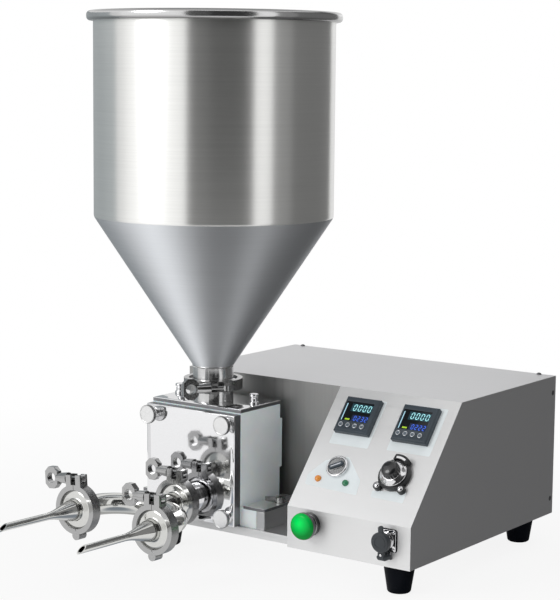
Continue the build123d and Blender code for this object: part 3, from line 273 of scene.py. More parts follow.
acetal = moulded(
    "white acetal block", (0.9, 0.97, 1.0), 0.42, cells=300, depth=0.008, variation=0.04,
    Subsurface_Weight=0.25, Subsurface_Scale=0.004,
)
silicone = moulded("white silicone", (0.8, 0.8, 0.77), 0.5)
black_rubber = moulded(
    "black rubber", (0.003, 0.004, 0.007), 0.5, cells=700, depth=0.02, Specular_IOR_Level=0.06
)
black_plastic = moulded("black plastic", (0.014, 0.015, 0.016), 0.3, depth=0.006)
grip_black = moulded(
    "glossy black grip", (0.004, 0.005, 0.006), 0.3, depth=0.002, Coat_Weight=0.8, Coat_Roughness=0.07
)
cap_plastic = moulded("slate black cap", (0.03, 0.036, 0.042), 0.42)
bezel_plastic = moulded("slate meter bezel", (0.04, 0.055, 0.07), 0.4, depth=0.008)
key_slate = moulded("slate key tops", (0.12, 0.15, 0.18), 0.35, depth=0.004)
button_green = moulded(
    "green push button", (0.0, 0.3, 0.04), 0.2, cells=60, depth=0.002, variation=0.05,
    Specular_IOR_Level=0.04, Coat_Weight=0.2, Coat_Roughness=0.04, Emission_Color=(0.0, 0.8, 0.12, 1),
)
amber_lens = moulded("amber lens", (0.85, 0.3, 0.03), 0.2, cells=400, Coat_Weight=0.6)
green_lens = moulded("green lens", (0.01, 0.2, 0.08), 0.2, cells=400, Coat_Weight=0.6)
label_film = moulded("pale label film", (0.88, 0.94, 0.96), 0.35, cells=500, depth=0.002, variation=0.03)
motor_paint = moulded("motor paint", (0.07, 0.075, 0.08), 0.4, cells=900, depth=0.02)
dark_ring = moulded("dark button collar", (0.01, 0.012, 0.012), 0.3, depth=0.004)
display_glass = moulded("display glass", (0.004, 0.006, 0.008), 0.12, cells=30, depth=0.001, Coat_Weight=0.5)


def lit(name, colour, strength):
    """A dark plastic that glows in its colour."""
    return moulded(
        name, shade(colour, 0.15), 0.4, cells=800, depth=0.001, Emission_Color=(*colour, 1),
        Emission_Strength=strength,
    )


digit_cyan = lit("cyan digits", (0.45, 0.95, 1.0), 1.0)
field_teal = lit("teal display field", (0.0, 0.04, 0.06), 0.8)
field_navy = lit("navy display field", (0.0, 0.01, 0.06), 0.8)
digit_blue = lit("blue digits", (0.06, 0.18, 1.0), 1.0)
bar_blue = lit("pale blue bar", (0.45, 0.75, 0.9), 0.8)
mark_lime = lit("lime mark", (0.5, 0.8, 0.03), 0.7)

# %% [markdown]
# ## A small kit for shapes
# Most pieces of this machine come off a lathe, so the main tool is a spin: a few corner points with their
# own roundings, turned round Z. The rest are bent or machined blocks, which the CAD model already has. For
# those a merged copy of the CAD mesh gets a live Bevel, because an edge that no tool has broken looks like
# paper, and a rounded one catches the light. A piece can have a second finish on the faces that a test picks.

# %% Shape helpers
sharp_angle, flat_angle = 40, 0.3
cad_weld, spin_weld = 1e-6, 1e-7


def verts_of(geometry):
    return [part for part in geometry if isinstance(part, bmesh.types.BMVert)]


def closed_up(bm):
    """Merge the vertices that lie together and turn every face outwards."""
    bmesh.ops.remove_doubles(bm, verts=bm.verts[:], dist=spin_weld)
    bmesh.ops.recalc_face_normals(bm, faces=bm.faces[:])
    return bm


def round_corners(bm, corners, radius):
    bmesh.ops.bevel(
        bm, geom=corners, offset=radius * mm, offset_type="OFFSET", segments=4, profile=0.5,
        affect="VERTICES", material=-1,
    )


def turned(outline, steps):
    """Spin an outline of (radius, height) or (radius, height, rounding) corners round the Z axis."""
    bm = bmesh.new()
    corners = [bm.verts.new((corner[0] * mm, 0, corner[1] * mm)) for corner in outline]
    chain = list(zip(corners, corners[1:]))
    if outline[0][0] > 0 or outline[-1][0] > 0:
        chain.append((corners[-1], corners[0]))
    for pair in chain:
        bm.edges.new(pair)
    for vert, corner in zip(corners, outline):
        if len(corner) > 2:
            round_corners(bm, [vert], corner[2])
    bmesh.ops.spin(
        bm, geom=bm.verts[:] + bm.edges[:], cent=(0, 0, 0), axis=(0, 0, 1), angle=2 * math.pi,
        steps=steps, use_merge=True,
    )
    return closed_up(bm)


def rectangle(width, height, u=0.0, v=0.0):
    corners = ((-1, -1), (1, -1), (1, 1), (-1, 1))
    return [(u + side * width / 2, v + end * height / 2) for side, end in corners]


def axes(origin, z, x=(1, 0, 0)):
    """The frame with its Z along z and its X as near to x as it can be, at a point in metres."""
    z = Vector(z).normalized()
    y = z.cross(Vector(x)).normalized()
    turn = Matrix((y.cross(z), y, z)).transposed()
    return Matrix.Translation(origin) @ turn.to_4x4()


def placed(bm, *places):
    """Put the shape at each of the places, as copies in one mesh."""
    shape = bm.verts[:] + bm.edges[:] + bm.faces[:]
    own = bm.verts[:]
    for place in places[1:]:
        copy = bmesh.ops.duplicate(bm, geom=shape)["geom"]
        bmesh.ops.transform(bm, matrix=place, verts=verts_of(copy))
    bmesh.ops.transform(bm, matrix=places[0], verts=own)
    return bm


def joined(*shapes):
    """Several shapes as one mesh."""
    bm = bmesh.new()
    for shape in shapes:
        holder = bpy.data.meshes.new("holder")
        shape.to_mesh(holder)
        shape.free()
        bm.from_mesh(holder)
        bpy.data.meshes.remove(holder)
    return bm


def marked(bm, where):
    """Leave the faces whose middle passes a test to the second finish."""
    for face in bm.faces:
        face.material_index = int(where(face.calc_center_median()))
    return bm


def new_object(bm, name, *finishes):
    mesh = bpy.data.meshes.new(name)
    bm.to_mesh(mesh)
    bm.free()
    for finish in finishes:
        mesh.materials.append(finish)
    made = bpy.data.objects.new(name, mesh)
    scene.collection.objects.link(made)
    return made


def piece(bm, name, finish, on, *places, instead=False, second=(), sharp=sharp_angle):
    """Put the shape at its places and make it an object of its own, which rides with the CAD node that it
    sits on, or is seen instead of that node."""
    made = new_object(placed(bm, *places) if places else bm, name, finish, *second)
    made.data.shade_smooth()
    made.data.set_sharp_from_angle(angle=math.radians(sharp))
    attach(made, body_of[on])
    if instead:
        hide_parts(on)
    return made


def softened(node, finish, edge, *others, segments=2):
    """A merged copy of a CAD node whose hard edges are rounded by edge millimetres. Each of the others is a
    finish with a test for the faces that get it."""
    bm = bmesh.new()
    bm.from_mesh(nodes[node].data)
    bmesh.ops.remove_doubles(bm, verts=bm.verts[:], dist=cad_weld)
    bmesh.ops.dissolve_limit(bm, angle_limit=math.radians(flat_angle), verts=bm.verts[:], edges=bm.edges[:])
    made = piece(bm, f"{node}_soft", finish, node, instead=True)
    bevel = made.modifiers.new("rounded edges", "BEVEL")
    bevel.width = edge * mm
    bevel.segments = segments
    bevel.limit_method = "ANGLE"
    bevel.angle_limit = math.radians(sharp_angle)
    for index, (other, where) in enumerate(others, 1):
        made.data.materials.append(other)
        for face in filter(where, made.data.polygons):
            face.material_index = index


def dressed(finish, *names):
    """CAD nodes that keep their own mesh and get a better finish."""
    for name in names:
        nodes[name].data.materials.clear()
        nodes[name].data.materials.append(finish)


# %% [markdown]
# ## Hopper
# The hopper is spun from thin sheet: a cylinder with a rolled rim, a cone, and a neck that ends in a clamp
# ferrule. A CAD facet would show on such a large smooth wall, so it is spun again here in many steps. The
# rim is a square corner of the outline with its points rounded until it is a roll. Its colour is full along
# the crest and darker up and down from it: a painted highlight and painted shade for what the roll reflects.
# The tool that pressed the cone left fine steps round it, so the cone's finish takes a level normal, as the
# face of a step has. The cone is also coloured much darker than the cylinder: painted shade for its darker
# reflections.

# %% Hopper
hopper_steps = 160
half_gasket = 0.8
hopper_radius, hopper_inside = 146, 144.8
neck_radius, neck_bore = 25, 23.5
cone_top, wall_top = 205.5, 445
rim_reach, rim_middle, rim_width, rim_height, rim_rounding = 149.4, 445.5, 9.2, 11.7, 4.5
neck_z = hopper_low.z - half_gasket * mm
hopper_place = Matrix.Translation((hopper_axis.x, hopper_axis.y, neck_z))
wall_outline = [
    (neck_radius, 21.8), (hopper_radius, cone_top, 2.5), (hopper_radius, wall_top),
    (hopper_inside, wall_top), (hopper_inside, cone_top + 0.4, 2.5), (neck_bore, 22.2),
]
wall = turned(wall_outline, hopper_steps)
for face in wall.faces:
    middle = face.calc_center_median()
    outside = face.normal.xy.dot(middle.xy) > 0
    face.material_index = int(outside and middle.z < cone_top * mm)
piece(wall, "hopper_spun", hopper_steel, "hopper", hopper_place, instead=True, second=[shaded_cone_steel])
rim_corners = rectangle(rim_width, rim_height, rim_reach, rim_middle)
rim = turned([(*corner, rim_rounding) for corner in rim_corners], hopper_steps)
crest_z = neck_z + rim_middle * mm
# The rim's colour darkens away from the crest: painted shade on its flanks.
rim_shaded_steel = crest_shaded_steel("rolled rim steel with painted highlight and shade", (0.68,) * 3, 0.16, crest_z, rim_height / 2 * mm)
piece(rim, "hopper_rim", rim_shaded_steel, "hopper", hopper_place)
neck_outline = [
    (neck_bore, half_gasket), (32, half_gasket, 0.4), (32, 2.8, 0.6), (27, 4.6), (neck_radius, 5.4, 0.8),
    (neck_radius, 20.4, 0.4), (25.9, 21.2, 0.5), (25.9, 22.4, 0.5), (24.6, 23), (neck_bore, 22),
]
piece(turned(neck_outline, 96), "hopper_neck", neck_steel, "hopper", hopper_place)

# %% [markdown]
# ## Clamps
# Each ferrule joint is closed by a cast clamp: two half bands on a pin, a swing bolt and an eye nut. They
# are investment castings with every edge rolled over, so their copies get a wide bevel. Only the faces across
# the pipe are polished; the rest keeps the duller, rougher skin of the casting, and is also coloured darker:
# painted shade for the dark reflections on the bands' sides.

# %% Clamps
polished_limit = 0.6
pipe_axis = {"neck_clamp": 2, "outlet_clamp": 1, "left_nozzle_clamp": 1, "right_nozzle_clamp": 1}
for clamp, along in pipe_axis.items():
    # Faces along the band's sides get the rougher skin, darkened as painted shade.
    skin_and_shade = (skin_and_shade_steel, lambda face: abs(face.normal[along]) < polished_limit)
    softened(clamp, cast_steel, 0.9, skin_and_shade, segments=3)
    softened(f"{clamp}_bolt", cast_steel, 0.5)
    softened(f"{clamp}_nut", cast_steel, 1.4, segments=3)
dressed(silicone, "ferrule_gaskets")

# %% [markdown]
# ## Manifold
# The forked tube is bent from one length, so its ring of vertices is walked along the route: extruded on
# the straights and spun round the bends. The ferrules are turned, and a bead of weld runs behind each of
# those that carry a nozzle. The nozzles' joints are found from the mounts at their mouths.

# %% Manifold
mounts = {row["name"]: row for row in record["mounts"]}
nozzle_length, mouth_setback = 131, 25
tube_radius, tube_bore = 12.7, 11.2
ferrule_length, ferrule_overlap, stub_gap = 14, 4, 6
arm, bend = 70, 48
ahead = Vector(mounts["left_needle_mouth"]["axis"])
joints = [
    Vector(mounts[f"{side}_needle_mouth"]["pos_m"]) - ahead * (nozzle_length - mouth_setback) * mm
    for side in ("left", "right")
]
span = joints[1] - joints[0]
across = span.normalized()
half_span = span.length / mm / 2
cross_centre = (joints[0] + joints[1]) / 2 - ahead * arm * mm
manifold_place = axes(cross_centre, across.cross(ahead), across)


def once_each(parts):
    return list(dict.fromkeys(parts))


def tube_along_fork(radius, end):
    """The forked tube's wall, walked from one ferrule to the other."""
    bm = bmesh.new()
    start = axes((-half_span * mm, end * mm, 0), (0, -1, 0))
    circle = bmesh.ops.create_circle(bm, segments=40, radius=radius * mm, matrix=start)
    ring = once_each(edge for vert in circle["verts"] for edge in vert.link_edges)

    def straight(ring, step):
        fresh = verts_of(bmesh.ops.extrude_edge_only(bm, edges=ring)["geom"])
        bmesh.ops.translate(bm, verts=fresh, vec=Vector(step) * mm)
        edges = once_each(edge for vert in fresh for edge in vert.link_edges)
        return [edge for edge in edges if set(edge.verts) <= set(fresh)]

    def quarter_bend(ring, centre):
        verts = once_each(vert for edge in ring for vert in edge.verts)
        out = bmesh.ops.spin(
            bm, geom=verts + ring, cent=Vector(centre) * mm, axis=(0, 0, 1), angle=math.pi / 2, steps=20
        )
        return [part for part in out["geom_last"] if isinstance(part, bmesh.types.BMEdge)]

    flat = half_span - bend
    ring = straight(ring, (0, bend - end, 0))
    ring = quarter_bend(ring, (-flat, bend, 0))
    ring = straight(ring, (2 * flat, 0, 0))
    ring = quarter_bend(ring, (flat, bend, 0))
    straight(ring, (0, end - bend, 0))
    return closed_up(bm)


fork = placed(tube_along_fork(tube_radius, arm - ferrule_overlap), manifold_place)
ferrule_face = [
    (tube_bore, half_gasket), (25.25, half_gasket, 0.3), (25.25, 2.8, 0.5), (20.25, 4.6, 0.5),
    (tube_radius, 5.4, 2),
]
ferrule_outline = ferrule_face + [(tube_radius, ferrule_length), (tube_bore, ferrule_length)]
ferrules = placed(turned(ferrule_outline, 72), *(axes(joint, -ahead, across) for joint in joints))
outlet_low, outlet_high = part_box("outlet_clamp")
outlet_joint = Vector((cross_centre.x, (outlet_low.y + outlet_high.y) / 2, cross_centre.z))
stub_end = (outlet_joint - cross_centre).length / mm - stub_gap
stub_outline = ferrule_face + [(tube_radius, stub_end), (tube_bore, stub_end)]
stub = placed(turned(stub_outline, 72), axes(outlet_joint, (0, -1, 0)))
tubes = joined(fork, ferrules, stub)
piece(tubes, "manifold_bent", tube_steel, "manifold", instead=True, sharp=50)
bead_places = [axes(joint - ahead * ferrule_length * mm, ahead, across) for joint in joints]
bead = turned([(12.4, -1.2, 0.3), (13.5, 0, 0.6), (12.4, 1.2, 0.3)], 64)
piece(bead, "manifold_welds", cast_steel, "manifold", *bead_places)

# %% [markdown]
# ## Nozzles
# A nozzle is turned, and its slanted mouth is a cut through the needle, with the wall bridged between the
# outer and the inner loop. Each nozzle sits in its clamp a few degrees round from straight, as it was put in.

# %% Nozzles
needle_radius, needle_bore, needle_bevel = 4.2, 3.2, math.radians(55)
nozzle_outline = ferrule_face + [
    (tube_radius, 12.4, 2), (needle_radius, 46, 8), (needle_radius, nozzle_length),
    (needle_bore, nozzle_length), (needle_bore, 46, 6), (tube_bore, 12, 2),
]
for nozzle, joint, lean in zip(("left_nozzle", "right_nozzle"), joints, (7.5, 4)):
    bm = turned(nozzle_outline, 64)
    bmesh.ops.bisect_plane(
        bm, geom=bm.verts[:] + bm.edges[:] + bm.faces[:],
        plane_co=(0, -needle_radius * mm, nozzle_length * mm),
        plane_no=(0, math.sin(needle_bevel), math.cos(needle_bevel)), clear_outer=True,
    )
    bmesh.ops.bridge_loops(bm, edges=[edge for edge in bm.edges if edge.is_boundary])
    bmesh.ops.recalc_face_normals(bm, faces=bm.faces[:])
    tipped = Matrix.Rotation(math.radians(lean), 3, ahead) @ across
    piece(bm, f"{nozzle}_turned", tube_steel, nozzle, axes(joint, ahead, tipped), instead=True)

# %% [markdown]
# ## Pump
# A white acetal block between a mirror front plate and a top plate, both with sawn edges, held by knurled
# thumb screws. The sawn edges are coloured much darker than the plates' faces: partly the duller cut steel,
# partly painted shade on the sides. The knurl is cut the way a wheel presses it: every second column of the
# rim is pushed in. The polish stops at the rim, which is darker.

# %% Pump
edge_limit = 0.5
plate_thickness, port_start = 12.3, 5.7
softened("pump_body", acetal, 0.6)
plate_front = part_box("front_plate")[1].y - plate_thickness * mm
# The plate's sides get the dark edge finish, which is partly painted shade.
sides = (sawn_shaded_edge_steel, lambda face: abs(face.normal.y) < edge_limit and face.center.y > plate_front)
softened("front_plate", mirror_steel, 0.35, sides)
port_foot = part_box("top_plate")[0].z + port_start * mm
upright = (sawn_shaded_edge_steel, lambda face: abs(face.normal.z) < edge_limit)
softened("top_plate", mirror_steel, 0.35, upright, (neck_steel, lambda face: face.center.z > port_foot))
softened("rear_cover", acetal, 0.4)
dressed(acetal, "drive_rotor", "driven_rotor")
dressed(turned_steel, "drive_shaft", "driven_shaft", "output_spindle")
dressed(silicone, "face_seal", "shaft_seals")


def knurled(bm, radius, columns, depth):
    """Push in every second column of the vertices that lie outside a radius."""
    for vert in bm.verts:
        column = round(math.atan2(vert.co.y, vert.co.x) / (2 * math.pi) * columns)
        if vert.co.xy.length > radius * mm and column % 2:
            vert.co.xy *= 1 - depth / radius
    return bm


thumb_steps = 96
thumb_radius, thumb_length, thumb_rim = 11.7, 13.2, 10.8
knurl_start, knurl_depth = 11.2, 0.35
thumb_outline = [
    (0, 0), (7.2, 0), (7.2, 2, 0.5), (5.6, 2.6), (5.6, 5.2), (6.6, 5.8, 0.3), (6.6, 7.6, 0.3), (5.8, 8.2),
    (11.6, 8.4, 0.6), (11.6, thumb_length, 0.7), (10.2, thumb_length, 0.3), (9.9, 12.9), (0, 12.9),
]
thumb_low, thumb_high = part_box("thumb_screws")
thumb_reach = thumb_radius * mm
thumb_places = [
    axes((x, thumb_low.y + thumb_length * mm, z), (0, -1, 0))
    for x in (thumb_low.x + thumb_reach, thumb_high.x - thumb_reach)
    for z in (thumb_low.z + thumb_reach, thumb_high.z - thumb_reach)
]
thumb = knurled(turned(thumb_outline, thumb_steps), knurl_start, thumb_steps, knurl_depth)
marked(thumb, lambda middle: middle.xy.length > thumb_rim * mm)
piece(
    thumb, "thumb_screws_knurled", turned_steel, "thumb_screws", *thumb_places, instead=True,
    second=[rim_steel],
)

spool_radius, spool_length = 6.4, 13.3
spool_outline = [
    (0, 0), (spool_radius, 0, 0.3), (spool_radius, 2.8, 0.8), (4.8, 3.6, 0.8), (4.8, 8.8, 0.8),
    (5.9, 9.5, 0.5), (5.9, 12.3, 0.9), (3, spool_length, 1.2), (0, spool_length),
]
spool_low, spool_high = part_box("top_screws")
spool_places = [
    Matrix.Translation((x, (spool_low.y + spool_high.y) / 2, spool_high.z - spool_length * mm))
    for x in (spool_low.x + spool_radius * mm, spool_high.x - spool_radius * mm)
]
spool = turned(spool_outline, 48)
piece(spool, "top_screws_turned", chrome, "top_screws", *spool_places, instead=True)
softened("guide_rails", bar_steel, 0.5)
softened("hold_plates", hold_steel, 0.5, upright)
softened("wing_screw", rim_steel, 0.5)

# %% [markdown]
# ## Cabinet
# The cabinet is bent from brushed sheet, so its edges have a small radius. It stands on tapered rubber
# feet, and its cover is held by dark screws: turned domes with a socket pressed in on the top and the back,
# and flush heads on the sides. The fronts of the control box and of the base tray are blasted, which leaves
# them duller than the rest, and their colour is paler as well: painted light for the light that falls on
# them from the front. The wall of the pump bay is coloured darker: painted shade for the recess.

# %% Cabinet
bay_side = 20 * mm
front_limit = -0.3


def faces_front(face):
    return face.normal.y < front_limit


# The bay wall gets the darker sheet, painted shade; the other front faces get the paler sheet, painted light.
bay_shade_wall = (bay_shade_sheet, lambda face: faces_front(face) and face.center.x <= bay_side)
softened("cabinet_cover", sheet_steel, 0.7, (lit_front_sheet, faces_front), bay_shade_wall, segments=3)
# The tray's front faces get the paler sheet too: painted light.
softened("base_tray", sheet_steel, 0.4, (lit_front_sheet, faces_front))
softened("rear_panel", sheet_steel, 0.5)
softened("cable_gland", black_plastic, 0.5)
dressed(motor_paint, "gear_motor")
foot_radius = 19
foot_outline = [
    (0, 2), (4, 2, 0.5), (4.6, 0, 0.6), (13.5, 0, 2.5), (foot_radius, 35.3, 0.8), (12, 35.3), (12, 44),
    (0, 44),
]
foot_low, foot_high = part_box("rubber_feet")
foot_reach = foot_radius * mm
foot_places = [
    Matrix.Translation((x, y, 0))
    for x in (foot_low.x + foot_reach, foot_high.x - foot_reach)
    for y in (foot_low.y + foot_reach, foot_high.y - foot_reach)
]
feet = turned(foot_outline, 56)
piece(feet, "rubber_feet_moulded", black_rubber, "rubber_feet", *foot_places, instead=True)


def pan_head(radius, height):
    """A domed screw head with a socket pressed into its top."""
    outline = [
        (0, -0.2), (radius, -0.2), (radius, 0.4 * height, 0.5 * height), (0.45 * radius, height), (0, height),
    ]
    bm = turned(outline, 24)
    top = [face for face in bm.faces if face.calc_center_median().z > 0.97 * height * mm]
    bmesh.ops.dissolve_faces(bm, faces=top)
    cap = max(bm.faces, key=lambda face: face.calc_center_median().z)
    bmesh.ops.inset_region(bm, faces=[cap], thickness=0.08 * radius * mm)
    bmesh.ops.translate(bm, verts=cap.verts[:], vec=(0, 0, -0.5 * height * mm))
    return bm


def flat_head(radius):
    """A countersunk screw head that lies flush in the sheet."""
    return turned([(0, -0.4), (radius, -0.4), (radius, 0.02), (0.8 * radius, 0.03), (0, 0.03)], 24)


screw_radius, screw_height, screw_inset = 3.2, 2, 14 * mm
cover_low, cover_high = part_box("cabinet_cover")
top_row = cover_low.y + 338 * mm
side_row = cover_low.y + 335 * mm
top_places = [
    Matrix.Translation((x, top_row, cover_high.z)) for x in (cover_low.x + 16 * mm, cover_high.x - 22 * mm)
]
side_places = [
    axes((x, side_row, cover_low.z + height * mm), (sign, 0, 0), (0, 1, 0))
    for x, sign in ((cover_high.x, 1), (cover_low.x, -1))
    for height in (20, 156)
]
cover_screws = joined(
    placed(pan_head(screw_radius, screw_height), *top_places), placed(flat_head(screw_radius), *side_places)
)
piece(cover_screws, "cover_screws", dark_screw, "cabinet_cover")
rear_low, rear_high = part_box("rear_panel")
rear_places = [
    axes((x, rear_high.y, z), (0, 1, 0))
    for x in (rear_low.x + screw_inset, (rear_low.x + rear_high.x) / 2, rear_high.x - screw_inset)
    for z in (rear_low.z + screw_inset, rear_high.z - screw_inset)
]
piece(pan_head(screw_radius, screw_height), "rear_screws", dark_screw, "rear_panel", *rear_places)

# %% [markdown]
# ## The sloping panel as a drawing board
# The controls sit on a sloping face. A matrix whose X runs along the panel, whose Y runs up it and whose Z
# stands off it lets each of them be made flat and then laid on, measured from the lower right corner. The
# upright strip below the panel has a board of its own.

# %% Panel frame
strip_height = 50 * mm
slope = Vector((0, 108, 127)).normalized()
strip_corner = Vector((cover_high.x, cover_low.y, cover_low.z))
panel = axes(strip_corner + Vector((0, 0, strip_height)), (0, -slope.z, slope.y))
strip = axes(strip_corner, (0, -1, 0))


def at(board, u, v, height=0.0):
    return board @ Matrix.Translation((u * mm, v * mm, height * mm))


def turned_by(degrees):
    return Matrix.Rotation(math.radians(degrees), 4, "Z")


def polar(reach, degrees):
    angle = math.radians(degrees)
    return reach * math.cos(angle), reach * math.sin(angle)


def pulled_up(bm, thickness):
    """Make a flat shape a plate, from height 0 upwards."""
    out = bmesh.ops.extrude_face_region(bm, geom=bm.faces[:])["geom"]
    bmesh.ops.translate(bm, verts=verts_of(out), vec=(0, 0, thickness * mm))
    bmesh.ops.recalc_face_normals(bm, faces=bm.faces[:])
    return bm


def plate(corners, thickness, rounding=0.0):
    """A flat plate over its corners, which may be rounded."""
    bm = bmesh.new()
    bm.faces.new([bm.verts.new((u * mm, v * mm, 0)) for u, v in corners])
    if rounding:
        round_corners(bm, bm.verts[:], rounding)
    return pulled_up(bm, thickness)


# %% [markdown]
# ## Label films
# Pale films lie on the panel behind the meters, round the selector and under the dial. They are plain
# sheets a tenth of a millimetre thick with rounded corners, so each is one face that is pulled up.

# %% Label films
film = 0.12
film_outlines = [
    (rectangle(54.6, 65, -124.3, 121.5), 1.5),
    (rectangle(58.3, 63.8, -42.45, 123.1), 1.5),
    ([(-86, 28), (-88.4, 47), (-116.6, 75), (-145.8, 65.8), (-161.5, 44), (-159.4, 31)], 2),
    ([(-67.8, 37.5), (-66.3, 29.1), (-22.6, 28.1), (-23.4, 42)], 1.5),
]
films = joined(*(plate(corners, film, rounding) for corners, rounding in film_outlines))
piece(films, "label_films", label_film, "cabinet_cover", panel)

# %% [markdown]
# ## Meters
# Each meter is a moulded bezel with a dark window. Its figures are seven-segment digits: one bar is a
# six-sided disc pulled long, and a digit is the bars that are lit. The figures and their fields lie in thin
# layers under the bezel's face. The keys are silver rings with a dished slate top.

# %% Seven-segment figures
segment_places = {
    "a": (0, 1, 0), "b": (0.5, 0.5, 90), "c": (0.5, -0.5, 90), "d": (0, -1, 0), "e": (-0.5, -0.5, 90),
    "f": (-0.5, 0.5, 90), "g": (0, 0, 0),
}
lit_segments = {"0": "abcdef", "2": "abged", "3": "abgcd"}
level_length, upright_length, bar_width = 0.42, 0.46, 0.14
digit_width, digit_slant, digit_thickness = 0.9, 0.08, 0.05


def figures(text, height, u, v, pitch):
    """A row of seven-segment digits as flat lit bars, on the board's own plane."""
    bm = bmesh.new()
    stroke = height / 2
    for index, character in enumerate(text):
        for name in lit_segments[character]:
            x, y, angle = segment_places[name]
            spot_u = u + index * pitch + x * digit_width * stroke
            spot_v = v + y * stroke
            length = stroke * (upright_length if angle else level_length)
            size = Matrix.Diagonal((length * mm, bar_width * stroke * mm, 1, 1))
            bar = bmesh.ops.create_circle(bm, segments=6, radius=1, cap_ends=True)["verts"]
            spot = at(Matrix(), spot_u, spot_v)
            bmesh.ops.transform(bm, matrix=spot @ turned_by(angle) @ size, verts=bar)
    for vert in bm.verts:
        vert.co.x += digit_slant * (vert.co.y - v * mm)
    return pulled_up(bm, digit_thickness)


# %% Meters
meter_spots = {"left": (-125, 127.6), "right": (-44.7, 127.5)}
settings = {"left": "0232", "right": "0222"}
bezel_height = 7.5
glass_level, field_level, figure_level = -0.75, -0.38, -0.33
meter_layers = {
    "glass": (display_glass, rectangle(38.2, 26.2, -1.8, 3.8), 0.35, 0.6, glass_level),
    "reading_field": (field_teal, rectangle(29, 10.8, 2.8, 9.2), 0.03, 0, field_level),
    "setting_field": (field_navy, rectangle(23, 8.6, 5.8, -4.9), 0.03, 0, field_level),
    "bar": (bar_blue, rectangle(1.3, 23, -19, 2.6), 0.05, 0, figure_level),
    "mark": (mark_lime, rectangle(6.4, 2, -11.2, -7.2), 0.05, 0, figure_level),
}
key_pitch, key_shift, key_row, key_dish = 9.9, -1.4, -15.5, 2.2
key_outline = [(0, -3), (3.1, -3), (3.1, 1.2, 0.4), (2.3, 1.2, 0.2), (2, 0.9), (0, 0.9)]
for side, (u, v) in meter_spots.items():
    meter = f"{side}_meter"
    bezel = at(panel, u, v, bezel_height)
    softened(meter, bezel_plastic, 0.5, segments=3)
    for layer, (finish, outline, thickness, rounding, level) in meter_layers.items():
        shape = plate(outline, thickness, rounding)
        piece(shape, f"{meter}_{layer}", finish, meter, at(bezel, 0, 0, level))
    lit_plane = at(bezel, 0, 0, figure_level)
    reading = figures("0000", 7.8, -6.4, 9.2, 6.7)
    piece(reading, f"{meter}_reading", digit_cyan, meter, lit_plane)
    setting = figures(settings[side], 6, -1.1, -5.1, 5.2)
    piece(setting, f"{meter}_setting", digit_blue, meter, lit_plane)
    for number in range(1, 5):
        key = f"{meter}_key_{number}"
        key_place = at(bezel, key_pitch * (number - 2.5) + key_shift, key_row)
        top = marked(turned(key_outline, 32), lambda middle: middle.xy.length < key_dish * mm)
        piece(top, f"{key}_dished", key_silver, key, key_place, instead=True, second=[key_slate])

# %% [markdown]
# ## Selector and lamps
# The selector is a chromed ring with a turning disc and a grip bar, which carries a silver mark.

# %% Selector and lamps
disc_top, mark_height, mark_turn = 4.3, 7.04, 30
softened("selector_body", chrome, 0.4)
off_panel = panel.inverted()
grip_bar = (bezel_plastic, lambda face: (off_panel @ face.center).z > disc_top * mm)
softened("selector_knob", rim_steel, 0.5, grip_bar, segments=3)
bar_top = at(panel, -125, 59, mark_height) @ turned_by(mark_turn)
piece(plate(rectangle(13, 1.3), 0.04), "selector_mark", key_silver, "selector_knob", bar_top)
softened("amber_lamp", amber_lens, 0.2)
softened("green_lamp", green_lens, 0.2)

# %% [markdown]
# ## Dial
# The dial is a counting knob: a black base with two screw lugs and a window, a chromed bell that carries
# the marks, and a domed grip. The grip's ribs are a wave round the part of its side that fingers hold.

# %% Dial
dial = at(panel, -45.5, 60)
softened("dial_base", black_plastic, 0.8, segments=3)
skirt_outline = [
    (3.05, 5.8), (17, 5.8, 0.3), (17, 7.6, 0.5), (15.4, 8.8, 1.6), (12.2, 12.3, 0.6), (3.05, 12.3),
]
piece(turned(skirt_outline, 80), "dial_skirt_turned", chrome, "dial_skirt", dial, instead=True)
tick_count, tick_group = 50, 5
tick_width, tick_long, tick_short, tick_depth = 0.3, 1.5, 0.9, 0.2
tick_seat = Matrix.Translation((0, 16.1 * mm, 8.25 * mm)) @ Matrix.Rotation(math.radians(-37), 4, "X")
ticks = bmesh.new()
for tick in range(tick_count):
    length = tick_short if tick % tick_group else tick_long
    size = Matrix.Diagonal((tick_width * mm, length * mm, tick_depth * mm, 1))
    bmesh.ops.create_cube(ticks, size=1, matrix=turned_by(360 / tick_count * tick) @ tick_seat @ size)
piece(ticks, "dial_marks", black_plastic, "dial_skirt", dial)
rib_count, rib_depth, rib_inside, rib_top = 20, 0.07, 10, 18
grip_outline = [
    (0, -8), (3, -8), (3, 12.3), (11, 12.3, 0.4), (10.9, 17.4, 2), (9.4, 20, 2.4), (5.4, 21.7, 3), (0, 22.3),
]
grip = turned(grip_outline, 80)
for vert in grip.verts:
    if vert.co.xy.length > rib_inside * mm and vert.co.z < rib_top * mm:
        angle = math.atan2(vert.co.y, vert.co.x)
        vert.co.xy *= 1 - rib_depth * (0.5 + 0.5 * math.cos(rib_count * angle))
piece(grip, "dial_grip", grip_black, "dial_knob", dial, instead=True)
lug_reach, lug_height = 23.5, 5.5
lug_places = [at(dial, *polar(lug_reach, angle), lug_height) for angle in (228, 313)]
lug_screw = turned([(0, -0.4), (3.6, -0.4), (3.6, 0.6, 0.3), (2.4, 2, 1.2), (0, 2.3)], 32)
piece(lug_screw, "dial_lug_screws", chrome, "dial_base", *lug_places)
pane_outside, pane_inside, pane_half_angle, pane_height, pane_turn = 21.2, 18.6, 19, 9.8, -12
sweep = [90 + pane_half_angle * step / 4 for step in range(-4, 5)]
pane_outline = [polar(pane_outside, angle) for angle in sweep]
pane_outline += [polar(pane_inside, angle) for angle in reversed(sweep)]
pane_place = at(dial, 0, 0, pane_height) @ turned_by(pane_turn)
piece(plate(pane_outline, 0.3), "dial_window", chrome, "dial_base", pane_place)

